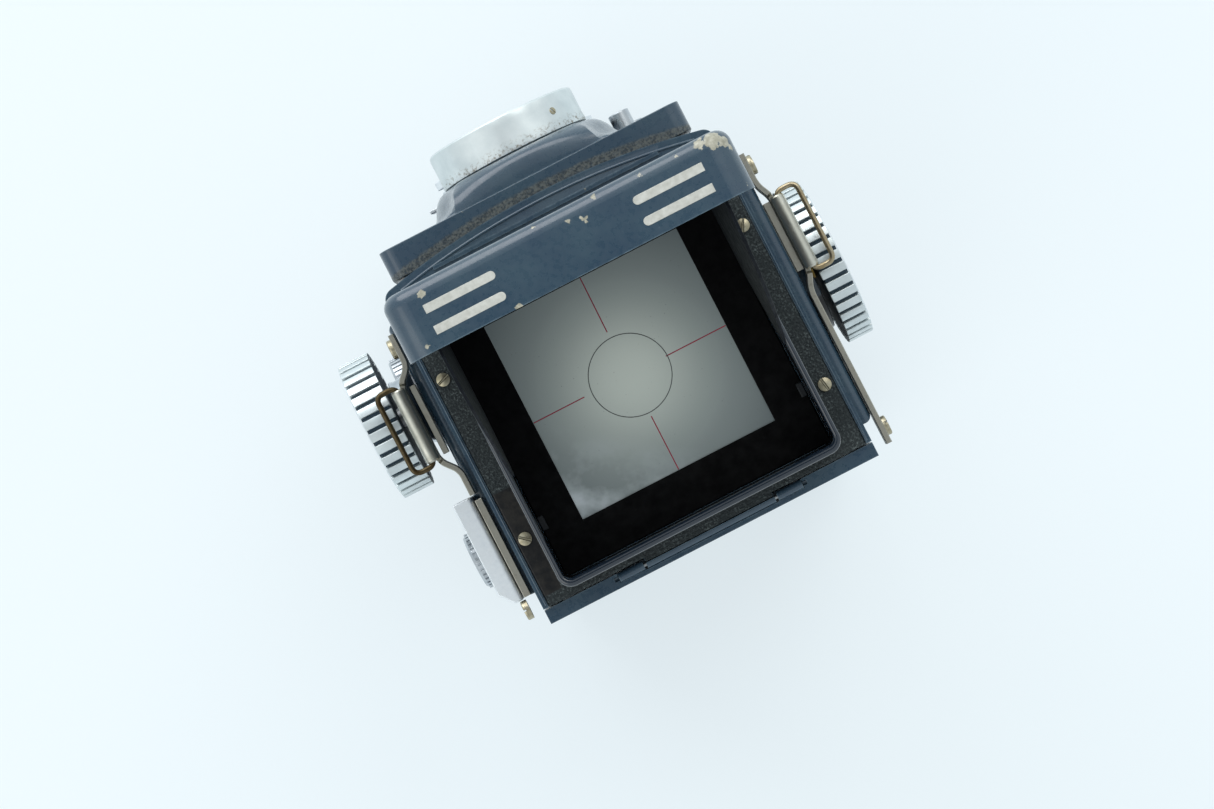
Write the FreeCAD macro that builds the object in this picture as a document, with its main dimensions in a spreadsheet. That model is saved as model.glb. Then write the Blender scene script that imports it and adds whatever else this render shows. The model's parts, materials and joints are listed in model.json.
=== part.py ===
import FreeCAD, Part
import math
import operator
import os

import Sketcher
from FreeCAD import Placement, Rotation, Vector

# A twin lens reflex camera for 4 x 4 cm pictures, in millimetres.
# Frame: +Z up, the lenses face -Y, and the origin is the mouth of the tripod socket under the
# middle of the focusing screen.  "Left" is +X, the focusing side; "right" is -X, the winding side.

os.makedirs("parts", exist_ok=True)
doc = FreeCAD.newDocument("twin_lens_camera")
sheet = doc.addObject("Spreadsheet::Sheet", "sizes")
pieces = {}

OPERATIONS = {"+": operator.add, "-": operator.sub, "*": operator.mul, "/": operator.truediv}


class Size:
    """A length that carries both its number and the sheet formula it comes from."""

    def __init__(self, number, formula):
        self.number = number
        self.formula = formula

    def join(self, sign, other, swapped=False):
        first, second = (as_size(other), self) if swapped else (self, as_size(other))
        number = OPERATIONS[sign](first.number, second.number)
        return Size(number, f"({first.formula} {sign} {second.formula})")

    def __add__(self, other):
        return self.join("+", other)

    def __radd__(self, other):
        return self.join("+", other, swapped=True)

    def __sub__(self, other):
        return self.join("-", other)

    def __rsub__(self, other):
        return self.join("-", other, swapped=True)

    def __mul__(self, other):
        return self.join("*", other)

    def __rmul__(self, other):
        return self.join("*", other, swapped=True)

    def __truediv__(self, other):
        return self.join("/", other)

    def __neg__(self):
        return self.join("*", -1)


def as_size(value):
    """A plain number is a size too, with itself as its formula."""
    return value if isinstance(value, Size) else Size(float(value), f"({float(value)})")


def size(alias, number):
    """Write one driving dimension into the sheet and hand back the size that reads it."""
    size.row = getattr(size, "row", 0) + 1
    sheet.set(f"A{size.row}", alias)
    sheet.set(f"B{size.row}", str(number))
    sheet.setAlias(f"B{size.row}", alias)
    return Size(number, f"sizes.{alias}")


# Driving dimensions -----------------------------------------------------------------------------

# Body casting
body_half = size("body_half", 35.8)
body_rear = size("body_rear", 33.1)
body_nose = size("body_nose", 39.4)
nose_bend = size("nose_bend", 158.0)
nose_under = size("nose_under", 97.6)
shoulder_front = size("shoulder_front", 35.0)
front_inner = size("front_inner", 32.9)
neck_half = size("neck_half", 31.3)
neck_low = size("neck_low", 4.9)
neck_top = size("neck_top", 95.3)
floor_top = size("floor_top", 3.5)
base_thick = size("base_thick", 2.0)
deck_top = size("deck_top", 105.0)
deck_under = size("deck_under", 101.5)
flange_sink = size("flange_sink", 1.0)
wall = size("wall", 2.0)
cheek_half = size("cheek_half", 38.1)
left_cheek_top = size("left_cheek_top", 98.6)
right_cheek_top = size("right_cheek_top", 103.2)
cheek_front = size("cheek_front", 30.0)
cheek_rear = size("cheek_rear", 29.6)
socket_thread = size("socket_thread", 3.175)
socket_depth = size("socket_depth", 8.0)
socket_radius = size("socket_radius", 6.0)

# Optics
viewing_height = size("viewing_height", 75.0)
taking_height = size("taking_height", 36.0)
barrel_radius = size("barrel_radius", 14.2)
barrel_bore = size("barrel_bore", 11.6)
element_radius = size("element_radius", 11.5)
ring_radius = size("ring_radius", 16.0)
ring_front = size("ring_front", 57.2)
board_rear = size("board_rear", 41.8)
board_front = size("board_front", 43.5)
board_half = size("board_half", 33.0)
board_top = size("board_top", 97.0)
board_low = size("board_low", 3.0)
board_skirt = size("board_skirt", 37.2)
board_wall = size("board_wall", 1.3)
board_corner = size("board_corner", 3.0)
button_collar = size("button_collar", 1.4)
cover_radius = size("cover_radius", 19.6)
cover_front = size("cover_front", 49.4)
screen_top = size("screen_top", 100.0)
screen_half = size("screen_half", 23.0)
screen_thick = size("screen_thick", 1.5)
screen_window = size("screen_window", 21.1)
mask_top = size("mask_top", 100.8)
mirror_half = size("mirror_half", 21.5)
mirror_reach = size("mirror_reach", 28.0)
mirror_thick = size("mirror_thick", 1.5)

# Hood
rim_inner = size("rim_inner", 29.05)
rim_outer = size("rim_outer", 30.25)
rim_top = size("rim_top", 116.2)
rim_rear_inner = size("rim_rear_inner", 29.7)
rim_rear_outer = size("rim_rear_outer", 31.4)
hood_hinge_front = size("hood_hinge_front", 28.8)
hood_hinge_height = size("hood_hinge_height", 115.2)
lid_half = size("lid_half", 34.2)
lid_reach = size("lid_reach", 61.4)
lid_sheet = size("lid_sheet", 0.8)
lid_face = size("lid_face", 2.3)
lid_lip = size("lid_lip", 10.0)
wing_sheet = size("wing_sheet", 0.6)
wing_outside = size("wing_outside", 28.8)
wing_pin_across = size("wing_pin_across", 28.15)
left_wing_offset = size("left_wing_offset", 4.9)
right_wing_offset = size("right_wing_offset", 6.9)
magnifier_hinge = size("magnifier_hinge", 46.8)

# Film transport
film_plane = size("film_plane", 29.0)
gate_half = size("gate_half", 20.5)
plate_inner = size("plate_inner", 26.4)
plate_outer = size("plate_outer", 27.6)
spool_half = size("spool_half", 24.8)
spool_radius = size("spool_radius", 10.0)
takeup_y = size("takeup_y", 19.5)
takeup_z = size("takeup_z", 75.3)
supply_y = size("supply_y", -21.0)
supply_z = size("supply_z", 13.7)
roller_y = size("roller_y", 26.6)
lower_roller_z = size("lower_roller_z", 10.2)
upper_roller_z = size("upper_roller_z", 61.8)
wind_y = size("wind_y", -2.3)
wind_z = size("wind_z", 84.34)
wind_teeth = size("wind_teeth", 34)
takeup_teeth = size("takeup_teeth", 25)
gear_module = size("gear_module", 0.8)
gear_low = size("gear_low", -33.4)
gear_high = size("gear_high", -30.9)
shaft_radius = size("shaft_radius", 2.2)
wind_knob_radius = size("wind_knob_radius", 16.75)
wind_knob_inner = size("wind_knob_inner", 41.7)
wind_knob_outer = size("wind_knob_outer", 47.5)
collar_radius = size("collar_radius", 12.5)
collar_length = size("collar_length", 2.8)

# Focusing
focus_y = size("focus_y", -13.1)
focus_z = size("focus_z", 86.0)
focus_knob_radius = size("focus_knob_radius", 14.65)
focus_knob_inner = size("focus_knob_inner", 44.1)
focus_knob_outer = size("focus_knob_outer", 51.1)
cam_rise = size("cam_rise", 1.06)
cam_rest = size("cam_rest", 6.2)
cam_across = size("cam_across", 30.5)
post_radius = size("post_radius", 1.8)

# Back
door_inner = size("door_inner", 33.4)
door_skin = size("door_skin", 35.1)
door_outer = size("door_outer", 36.3)
door_half = size("door_half", 35.8)
door_top = size("door_top", 104.0)
door_low = size("door_low", 2.2)
door_hinge_y = size("door_hinge_y", 34.35)
door_hinge_z = size("door_hinge_z", 104.0)
door_knuckle = size("door_knuckle", 0.9)
door_hinge_half = size("door_hinge_half", 14.0)

# Strap brackets and accessory shoe
strip_low = size("strip_low", 98.9)
strip_top = size("strip_top", 103.4)
right_strip = size("right_strip", 38.2)
left_strip = size("left_strip", 37.3)
strip_thick = size("strip_thick", 1.2)
barrel_z = size("barrel_z", 102.6)
lug_radius = size("lug_radius", 1.35)
lug_bore = size("lug_bore", 0.65)
wire_radius = size("wire_radius", 0.55)
lug_front = size("lug_front", -17.8)
lug_rear = size("lug_rear", -2.2)
right_lug = size("right_lug", 41.3)
left_lug = size("left_lug", 41.7)
ring_reach = size("ring_reach", 4.4)
shoe_front = size("shoe_front", 7.2)
shoe_rear = size("shoe_rear", 29.6)
shoe_inner = size("shoe_inner", 38.4)
shoe_outer = size("shoe_outer", 42.5)
shoe_low = size("shoe_low", 82.0)
shoe_top = size("shoe_top", 102.4)
shoe_sheet = size("shoe_sheet", 0.9)

doc.recompute()


# How the pieces are made ------------------------------------------------------------------------

FACING = {
    "+Z": Rotation(),
    "+X": Rotation(Vector(1, 1, 1), 120),
    "-X": Rotation(Vector(0, 1, 0), -90),
    "-Y": Rotation(Vector(1, 0, 0), 90),
    "+Y": Rotation(Vector(1, 0, 0), -90),
}
PLANES = {"XY": "z", "XZ": "y", "YZ": "x"}


def bind(item, path, value):
    """Tie one property to its formula in the sheet."""
    item.setExpression(path, as_size(value).formula)


def place(item, at, facing="+Z"):
    """Turn an item's own +Z to face one way and put its origin at a point given in sizes."""
    turn = facing if isinstance(facing, Rotation) else FACING[facing]
    item.Placement = Placement(Vector(*(as_size(value).number for value in at)), turn)
    for axis, value in zip("xyz", at):
        bind(item, f"Placement.Base.{axis}", value)
    return item


def keep(name, item):
    """Give a finished piece its name."""
    item.Label = name
    pieces[name] = item
    return item


def box(across, along, up, name="block"):
    """A block between two limits on each axis."""
    item = doc.addObject("Part::Box", name)
    for length, (low, high) in zip(("Length", "Width", "Height"), (across, along, up)):
        bind(item, length, as_size(high) - low)
    return place(item, (across[0], along[0], up[0]))


def rod(radius, start, length, facing="+Z", name="rod"):
    """A cylinder that starts at a point and runs the way it faces."""
    item = doc.addObject("Part::Cylinder", name)
    bind(item, "Radius", radius)
    bind(item, "Height", length)
    return place(item, start, facing)


def cone(low_radius, high_radius, start, length, facing="+Z", name="cone"):
    """A cone that starts at a point and narrows the way it faces."""
    item = doc.addObject("Part::Cone", name)
    bind(item, "Radius1", low_radius)
    bind(item, "Radius2", high_radius)
    bind(item, "Height", length)
    return place(item, start, facing)


def ball(radius, at, name="ball"):
    item = doc.addObject("Part::Sphere", name)
    bind(item, "Radius", radius)
    return place(item, at)


def fuse(*items):
    item = doc.addObject("Part::MultiFuse", "joined")
    item.Shapes = list(items)
    return item


def cut(base, *tools):
    item = doc.addObject("Part::Cut", "cut")
    item.Base = base
    item.Tool = tools[0] if len(tools) == 1 else fuse(*tools)
    return item


def common(*items):
    item = doc.addObject("Part::MultiCommon", "common")
    item.Shapes = list(items)
    return item


def group(*items):
    """Separate solids that share one name."""
    item = doc.addObject("Part::Compound", "group")
    item.Links = list(items)
    return item


def draw(body, plane, corners=(), circles=()):
    """A sketch whose corners and circles are all held by formulas of the sheet."""
    sketch = body.newObject("Sketcher::SketchObject", body.Name + "_sketch")
    role = plane + "_Plane"
    origin = next(item for item in body.Origin.OriginFeatures if item.Role == role)
    sketch.AttachmentSupport = [(origin, "")]
    sketch.MapMode = "FlatFace"
    points = [tuple(as_size(value) for value in corner) for corner in corners]
    for number, (start, end) in enumerate(zip(points, points[1:] + points[:1])):
        line = Part.LineSegment(Vector(start[0].number, start[1].number, 0),
                                Vector(end[0].number, end[1].number, 0))
        sketch.addGeometry(line, False)
        if number:
            sketch.addConstraint(Sketcher.Constraint("Coincident", number - 1, 2, number, 1))
    if points:
        sketch.addConstraint(Sketcher.Constraint("Coincident", len(points) - 1, 2, 0, 1))
    for number, point in enumerate(points):
        hold_point(sketch, number, 1, point)
    for across, up, radius in circles:
        across, up, radius = as_size(across), as_size(up), as_size(radius)
        middle = Vector(across.number, up.number, 0)
        number = sketch.addGeometry(Part.Circle(middle, Vector(0, 0, 1), radius.number), False)
        hold_point(sketch, number, 3, (across, up))
        index = sketch.addConstraint(Sketcher.Constraint("Radius", number, radius.number))
        bind(sketch, f"Constraints[{index}]", radius)
    return sketch


def hold_point(sketch, number, end, point):
    """Hold one point of a sketch at its two distances from the sketch's origin."""
    for kind, value in zip(("DistanceX", "DistanceY"), point):
        index = sketch.addConstraint(Sketcher.Constraint(kind, number, end, value.number))
        bind(sketch, f"Constraints[{index}]", value)


def rectangle(across, up):
    return [(across[0], up[0]), (across[1], up[0]), (across[1], up[1]), (across[0], up[1])]


def plate(name, plane, corners, low, high, circles=()):
    """A flat piece: one outline, padded from one level to another, with round holes."""
    body = doc.addObject("PartDesign::Body", name)
    pad = body.newObject("PartDesign::Pad", name + "_pad")
    pad.Profile = draw(body, plane, corners, circles)
    bind(pad, "Length", as_size(high) - low)
    at = {"x": 0, "y": 0, "z": 0, PLANES[plane]: high if plane == "XZ" else low}
    place(body, (at["x"], at["y"], at["z"]))
    return body


def turned(name, profile, at, facing):
    """A turned piece: its profile is (radius, distance along the axis)."""
    body = doc.addObject("PartDesign::Body", name)
    sketch = draw(body, "XZ", profile)
    turn = body.newObject("PartDesign::Revolution", name + "_turn")
    turn.Profile = sketch
    turn.ReferenceAxis = (sketch, ["V_Axis"])
    turn.Angle = 360
    return place(body, at, facing)


def round_edges(body, radius, chosen):
    """Round the edges of a body that a test picks out."""
    doc.recompute()
    last = body.Tip
    names = [f"Edge{number + 1}" for number, edge in enumerate(last.Shape.Edges) if chosen(edge)]
    fillet = body.newObject("PartDesign::Fillet", body.Name + "_fillet")
    fillet.Base = (last, names)
    bind(fillet, "Radius", radius)
    body.Tip = fillet
    return body


def notches(body, count, outer, depth, width):
    """Cut one straight notch along the rim of a turned body and repeat it all round."""
    doc.recompute()
    before = body.Tip.Shape.Volume
    sketch = draw(body, "XY", rectangle((outer - depth, outer + 1), (-width / 2, width / 2)))
    pocket = body.newObject("PartDesign::Pocket", body.Name + "_notch")
    pocket.Profile = sketch
    pocket.Type = "ThroughAll"
    pocket.Reversed = True
    body.Tip = pocket
    axis = next(item for item in body.Origin.OriginFeatures if item.Role == "Z_Axis")
    pattern = body.newObject("PartDesign::PolarPattern", body.Name + "_notches")
    pattern.Originals = [pocket]
    pattern.Axis = (axis, [""])
    pattern.Angle = 360
    bind(pattern, "Occurrences", count)
    body.Tip = pattern
    doc.recompute()
    if body.Tip.Shape.Volume >= before:
        raise RuntimeError(f"{body.Name}: the notches cut nothing")
    return body


def runs_along(edge, axis):
    """Whether an edge is a straight line along one axis."""
    if not isinstance(edge.Curve, (Part.Line, Part.LineSegment)):
        return False
    return abs(abs(edge.Curve.Direction.dot(axis)) - 1) < 1e-6


def at_corner(edge, axis, half_across, low, high):
    """Whether a straight edge along Y or X stands at a corner of its plate's outline."""
    middle = edge.CenterOfMass
    across = abs(middle.x) if abs(axis.x) < 0.5 else abs(middle.y)
    level = min(abs(middle.z - low), abs(middle.z - high))
    return runs_along(edge, axis) and abs(across - half_across) < 0.1 and level < 0.1


X_AXIS = Vector(1, 0, 0)
Y_AXIS = Vector(0, 1, 0)
Z_AXIS = Vector(0, 0, 1)


# Body casting, deck and covers ------------------------------------------------------------------

def nose(radius):
    """The upright cylinder whose front makes the gentle curve of the body's front wall."""
    return rod(radius, (0, nose_bend - body_nose, 0), deck_top + 10)


def make_body_shell():
    """A cast box, open at the back, with a well for the hood and bored for its shafts."""
    outside = common(box((-body_half, body_half), (-body_nose, body_rear), (base_thick, deck_top)),
                     nose(nose_bend))
    doc.recompute()
    shell = doc.addObject("Part::Fillet", "shell_corners")
    shell.Base = outside
    front_corners = []
    for number, edge in enumerate(outside.Shape.Edges):
        if runs_along(edge, Z_AXIS) and edge.CenterOfMass.y < -30:
            front_corners.append((number + 1, 2.4, 2.4))
    shell.Edges = front_corners
    inner = body_half - wall
    main_room = box((-inner, inner), (-front_inner, body_rear + 1), (floor_top, deck_under))
    neck_room = common(box((wall - neck_half, neck_half - wall), (-body_nose, -front_inner + 1),
                           (neck_low + wall, neck_top - wall)),
                       nose(nose_bend - wall))
    hollow = fuse(main_room, neck_room)
    bosses = []
    bores = []
    for side in (-1, 1):
        for height in (8, 91):
            at = (side * cam_across, -29, height)
            bosses.append(rod(3.2, at, 8, "-Y"))
            bores.append(rod(post_radius + 0.1, (side * cam_across, -20, height), 25, "-Y"))
    hinge_start = (-door_hinge_half, door_hinge_y, door_hinge_z)
    knuckle = fuse(rod(door_knuckle, hinge_start, 2 * door_hinge_half, "+X"),
                   box((-door_hinge_half, door_hinge_half), (body_rear - 0.5, door_hinge_y),
                       (door_hinge_z - door_knuckle, door_hinge_z + door_knuckle)))
    # below the nose the front steps back, and the lens board's skirt slides over the neck that is left
    step_back = box((-body_half - 1, body_half + 1), (-body_nose - 1, -shoulder_front), (0, nose_under))
    neck = box((-neck_half, neck_half), (-body_nose - 2, 0), (neck_low, neck_top))
    under_nose = cut(step_back, neck)
    bossed = fuse(cut(shell, hollow), *bosses)
    casting = fuse(cut(bossed, under_nose), knuckle)
    rib = box((-24.5, 24.5), (-36.0, -35.2), (deck_top - 0.2, deck_top + 0.35))
    tools = [
        box((-34.7, 34.7), (-29.6, body_rear + 1), (deck_top - flange_sink, deck_top + 1)),
        box((-rim_inner, rim_inner), (-rim_inner, rim_inner + 0.6), (deck_under - 1, deck_top)),
        rod(barrel_radius + 0.4, (0, -30, viewing_height), 12, "-Y"),
        rod(barrel_radius + 1.2, (0, -30, taking_height), 12, "-Y"),
        rod(1.7, (cam_across, -30, focus_z), 12, "-Y"),
        rod(0.5, (-door_hinge_half - 1, door_hinge_y, door_hinge_z), 2 * door_hinge_half + 2, "+X"),
        rod(2.1, (30, focus_y, focus_z), 10, "+X"),
        rod(2.5, (30, takeup_y, takeup_z), 10, "+X"),
        rod(2.5, (30, supply_y, supply_z), 10, "+X"),
        rod(shaft_radius + 0.1, (-40, wind_y, wind_z), 10, "+X"),
        rod(socket_radius + 0.05, (0, 0, 0), 6),
    ]
    return keep("body_shell", cut(fuse(casting, rib), *tools, *bores))


def cheek(name, side, cheek_top, holes):
    """A padded side cover, rounded along its outer edges."""
    low, high = (body_half, cheek_half) if side > 0 else (-cheek_half, -body_half)
    outline = rectangle((-cheek_front, cheek_rear), (base_thick, cheek_top))
    body = plate(name, "YZ", outline, low, high, holes)
    outer = (cheek_half - body_half).number if side > 0 else 0.0

    def on_outer_rim(edge):
        middle = edge.CenterOfMass
        straight = isinstance(edge.Curve, (Part.Line, Part.LineSegment))
        return straight and abs(middle.x - outer) < 1e-3

    return round_edges(body, 1.6, on_outer_rim)


def make_cheeks():
    left_holes = [(focus_y, focus_z, 2.4), (takeup_y, takeup_z, 2.6), (supply_y, supply_z, 2.6)]
    keep("left_cover", cheek("left_cheek", 1, left_cheek_top, left_holes))
    right = cheek("right_cheek", -1, right_cheek_top, [(wind_y, wind_z, 2.4)])
    collar = cut(rod(collar_radius, (-cheek_half + 0.5, wind_y, wind_z), collar_length + 0.5, "-X"),
                 rod(2.4, (-cheek_half + 1, wind_y, wind_z), collar_length + 3, "-X"))
    keep("right_cover", fuse(right, collar))


def make_base():
    outline = rectangle((-34.6, 34.6), (-34.8, body_rear))
    base = plate("base_plate", "XY", outline, 0, base_thick, [(0, 0, socket_radius + 0.05)])

    def upright(edge):
        return runs_along(edge, Z_AXIS) and abs(edge.CenterOfMass.x) > 30

    keep("base_plate", round_edges(base, 3, upright))
    socket = cut(rod(socket_radius, (0, 0, 0), socket_depth + 1.5),
                 rod(socket_thread, (0, 0, 0), socket_depth))
    keep("tripod_socket", socket)


def make_focus_boss():
    boss = cut(cone(9.5, 7.4, (cheek_half, focus_y, focus_z), 5.4, "+X"),
               rod(2.3, (cheek_half, focus_y, focus_z), 6, "+X"))
    keep("focus_boss", boss)


# Optics inside the body -------------------------------------------------------------------------

def make_mirror():
    """The mirror lies at 45 degrees across the viewing axis, on a sheet between the side plates."""
    slope = Rotation(X_AXIS, 45)
    pivot = Vector(0, 0, viewing_height.number)
    for name, half, top, bottom in (("mirror", mirror_half, 0, -mirror_thick),
                                    ("mirror_frame", plate_inner - 0.02, -mirror_thick,
                                     -mirror_thick - 1.1)):
        slab = doc.addObject("Part::Box", name)
        bind(slab, "Length", 2 * half)
        bind(slab, "Width", 2 * mirror_reach)
        bind(slab, "Height", as_size(top) - bottom)
        corner = Vector(-half.number, -mirror_reach.number, as_size(bottom).number)
        slab.Placement = Placement(pivot, slope).multiply(Placement(corner, Rotation()))
        keep(name, slab)


def make_screen():
    glass = box((-screen_half, screen_half), (-screen_half, screen_half),
                (screen_top - screen_thick, screen_top), "ground_glass")
    keep("ground_glass", glass)
    edge = rim_inner - 0.15
    frame = cut(box((-edge, edge), (-edge, edge + 0.6), (96.6, mask_top)),
                box((-screen_window, screen_window), (-screen_window, screen_window), (90, 110)),
                box((-screen_half - 0.05, screen_half + 0.05), (-screen_half - 0.05, screen_half + 0.05),
                    (90, screen_top)))
    keep("screen_frame", frame)


def make_light_box():
    """A tapered tunnel that keeps stray light off the film."""
    tunnel = doc.addObject("PartDesign::Body", "light_box")
    for kind, front_half, rear_half in (("PartDesign::AdditiveLoft", 11.0, gate_half + 1.4),
                                        ("PartDesign::SubtractiveLoft", 10.0, gate_half + 0.4)):
        sections = []
        for half, depth in ((front_half, -25), (rear_half, 25.9)):
            outline = rectangle((-half, half), (taking_height - half, taking_height + half))
            sketch = draw(tunnel, "XZ", outline)
            bind(sketch, "AttachmentOffset.Base.z", -as_size(depth))
            sections.append(sketch)
        loft = tunnel.newObject(kind, "tunnel_loft")
        loft.Profile = sections[0]
        loft.Sections = [sections[1]]
        tunnel.Tip = loft
    keep("light_box", tunnel)


def make_film_gate():
    edge = plate_inner - 0.05
    gate = cut(box((-edge, edge), (26, film_plane - 0.4), (13.5, 58.5)),
               box((-gate_half, gate_half), (20, 40), (taking_height - gate_half, taking_height + gate_half)))
    rails = [box((side - 0.8, side + 0.8), (film_plane - 0.6, film_plane), (13.5, 58.5))
             for side in (-23.6, 23.6)]
    keep("film_gate", fuse(gate, *rails))


def make_side_plates():
    """Two upright plates that carry the mirror, the rollers and the spools."""
    sides = []
    for side in (-1, 1):
        low, high = (plate_inner, plate_outer) if side > 0 else (-plate_outer, -plate_inner)
        tools = [rod(0.8, (low, roller_y, height), plate_outer - plate_inner, "+X")
                 for height in (lower_roller_z, upper_roller_z)]
        tools.append(rod(2.5, (low, takeup_y, takeup_z), plate_outer - plate_inner, "+X"))
        if side > 0:
            tools.append(rod(2.5, (low, supply_y, supply_z), plate_outer - plate_inner, "+X"))
        sheet_metal = cut(box((low, high), (-24, 32), (floor_top, 96.5)), *tools)
        if side < 0:
            stub = rod(2.35, (-plate_inner, supply_y, supply_z), 4.5, "+X")
            sheet_metal = fuse(sheet_metal, stub)
        sides.append(sheet_metal)
    keep("chassis_plates", group(*sides))


# Focusing hood ----------------------------------------------------------------------------------

def make_hood_base():
    """A flange screwed to the deck, with an upright rim round the focusing screen."""
    flange = box((-34.5, 34.5), (-29.4, body_rear), (deck_top - flange_sink, deck_top))
    rim = box((-rim_outer, rim_outer), (-31.3, rim_rear_outer), (deck_top, rim_top))
    well = box((-rim_inner, rim_inner), (-29.9, rim_rear_inner), (90, 130))
    hole = box((-rim_inner, rim_inner), (-rim_inner, rim_rear_inner), (90, deck_top))
    front_gap = box((-rim_inner, rim_inner), (-32, -29), (113.3, 130))
    ears = box((-lid_half - 1, lid_half + 1), (-32, -30.0), (113.3, 130))
    tools = [hole, front_gap, ears]
    tools.append(rod(0.7, (-rim_outer - 1, -hood_hinge_front, hood_hinge_height), 2 * rim_outer + 2, "+X"))
    for across, along in screw_places():
        tools.append(rod(0.9, (across, along, 90), 30))
    return keep("hood_base", cut(fuse(flange, cut(rim, well)), *tools))


def screw_places():
    return [(side * 32.7, along) for side in (-1, 1) for along in (-15.5, 19.2)]


def make_hinge_pins():
    hood_pin = rod(0.65, (-rim_outer, -hood_hinge_front, hood_hinge_height), 2 * rim_outer, "+X")
    door_pin = rod(0.45, (-20, door_hinge_y, door_hinge_z), 40, "+X")
    keep("hinge_pins", group(hood_pin, door_pin))


def lid_box(across, behind, above):
    """A block given by how far it lies behind and above the hood's hinge, with the lid open."""
    return box(across, (behind[0] - hood_hinge_front, behind[1] - hood_hinge_front),
               (above[0] + hood_hinge_height, above[1] + hood_hinge_height))


def rounded_tray(half, face, reach, lip, corner, shoulder):
    """A block with rounded top corners and a rounded shoulder round its outer face."""
    block = lid_box((-half, half), (-face, lip), (-1.0, reach))
    doc.recompute()
    top = (reach + hood_hinge_height).number
    front = (-face - hood_hinge_front).number
    corners = doc.addObject("Part::Fillet", "lid_corners")
    corners.Base = block
    corners.Edges = [(number + 1, corner, corner) for number, edge in enumerate(block.Shape.Edges)
                     if runs_along(edge, Y_AXIS) and abs(edge.CenterOfMass.z - top) < 0.1]
    doc.recompute()
    edges = []
    for number, edge in enumerate(corners.Shape.Edges):
        box_of_edge = edge.BoundBox
        if abs(box_of_edge.YMin - front) < 1e-3 and abs(box_of_edge.YMax - front) < 1e-3:
            if box_of_edge.ZMax > top - 58:
                edges.append((number + 1, shoulder, shoulder))
    tray = doc.addObject("Part::Fillet", "lid_shoulder")
    tray.Base = corners
    tray.Edges = edges
    return tray


def make_lid():
    """The hood's lid is a pressed tray that hinges at the front edge of the rim."""
    outside = rounded_tray(lid_half, lid_face, lid_reach, lid_lip, 4.6, 2.6)
    inside = rounded_tray(lid_half - lid_sheet, lid_face - lid_sheet, lid_reach - lid_sheet, lid_lip + 5,
                          3.4, 1.0)
    trims = [
        lid_box((-lid_half - 1, lid_half + 1), (-lid_face + 2.4, lid_lip + 1), (-2, 6)),
        lid_box((-lid_half - 1, lid_half + 1), (8.0, lid_lip + 1), (-2, 55)),
    ]
    knuckles = []
    for low, high in ((-28.6, -19), (19, 28.6)):
        axis = (low, -hood_hinge_front, hood_hinge_height)
        web = lid_box((low, high), (-lid_face + 0.1, 0), (-0.9, 0.9))
        knuckles.append(cut(fuse(rod(1.45, axis, high - low, "+X"), web),
                            rod(0.72, (low - 1, axis[1], axis[2]), high - low + 2, "+X")))
    floor_gap = lid_box((-40, 40), (-lid_face + lid_sheet, 30), (-5, -0.95))
    tray = cut(outside, inside, *trims, floor_gap)
    keep("hood_lid", fuse(tray, *knuckles))


LEAF_SPANS = ((3.0, 14.8), (26.2, 37.8), (49.2, 56.0))
WING_SPANS = ((15.2, 25.8), (38.2, 48.8))


def wing_knuckles(side, offset, spans):
    """Short tubes round an upright wing pin."""
    at = offset - hood_hinge_front
    return [rod(0.75, (side * wing_pin_across, at, hood_hinge_height + low), high - low)
            for low, high in spans]


def pin_hole(side, offset):
    return rod(0.42, (side * wing_pin_across, offset - hood_hinge_front, hood_hinge_height), 60)


def make_liner():
    """A black sheet inside the lid whose sides carry the two wings."""
    rear = -lid_face + lid_sheet
    sheets = [lid_box((-wing_outside, wing_outside), (rear, rear + 0.4), (2, 56.5))]
    holes = []
    for side, offset in ((1, left_wing_offset), (-1, right_wing_offset)):
        low, high = (wing_outside - wing_sheet, wing_outside)
        across = (low, high) if side > 0 else (-high, -low)
        for span in LEAF_SPANS:
            sheets.append(lid_box(across, (rear, offset), span))
        sheets.append(lid_box(across, (rear, offset - 1.0), (2, 56.5)))
        sheets.extend(wing_knuckles(side, offset, LEAF_SPANS))
        holes.append(pin_hole(side, offset))
    ears = [lid_box((side - 0.5, side + 0.5), (rear, 2.0), (magnifier_hinge - 1.2, magnifier_hinge + 1.2))
            for side in (-11.2, 11.2)]
    bore = rod(0.55, (-13, 0.8 - hood_hinge_front, hood_hinge_height + magnifier_hinge), 26, "+X")
    keep("hood_liner", cut(fuse(*sheets, *ears), *holes, bore))


def make_lid_pins():
    wing_pins = [rod(0.36, (side * wing_pin_across, offset - hood_hinge_front, hood_hinge_height + 3), 53)
                 for side, offset in ((1, left_wing_offset), (-1, right_wing_offset))]
    lens_pin = rod(0.5, (-11.7, 0.8 - hood_hinge_front, hood_hinge_height + magnifier_hinge), 23.4, "+X")
    keep("lid_pins", group(*wing_pins, lens_pin))


def make_wing(name, side, offset, reach):
    """A thin side leaf of the hood, with a falling curved top edge."""
    start = offset - hood_hinge_front
    base = hood_hinge_height
    outline = [
        (start + 1.0, base - 0.7), (-5.8, base - 0.7), (-0.3, base + 3.5), (4.7, base + 7.5),
        (reach, base + 12),
        (reach - 1.6, base + 18.5), (reach - 3.8, base + 25), (reach - 8.0, base + 35.5),
        (-4.3, base + 44), (-10.5, base + 51.5), (-17.4, base + 56.4),
        (start + 1.0, base + 56.4),
    ]
    inside = wing_outside - wing_sheet
    low, high = (inside, wing_outside) if side > 0 else (-wing_outside, -inside)
    leaf = plate(name + "_leaf", "YZ", outline, low, high)
    bridges = [box((low, high), (start, start + 1.2), (base + bottom, base + top))
               for bottom, top in WING_SPANS]
    tubes = wing_knuckles(side, offset, WING_SPANS)
    keep(name, cut(fuse(leaf, *bridges, *tubes), pin_hole(side, offset)))


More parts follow.
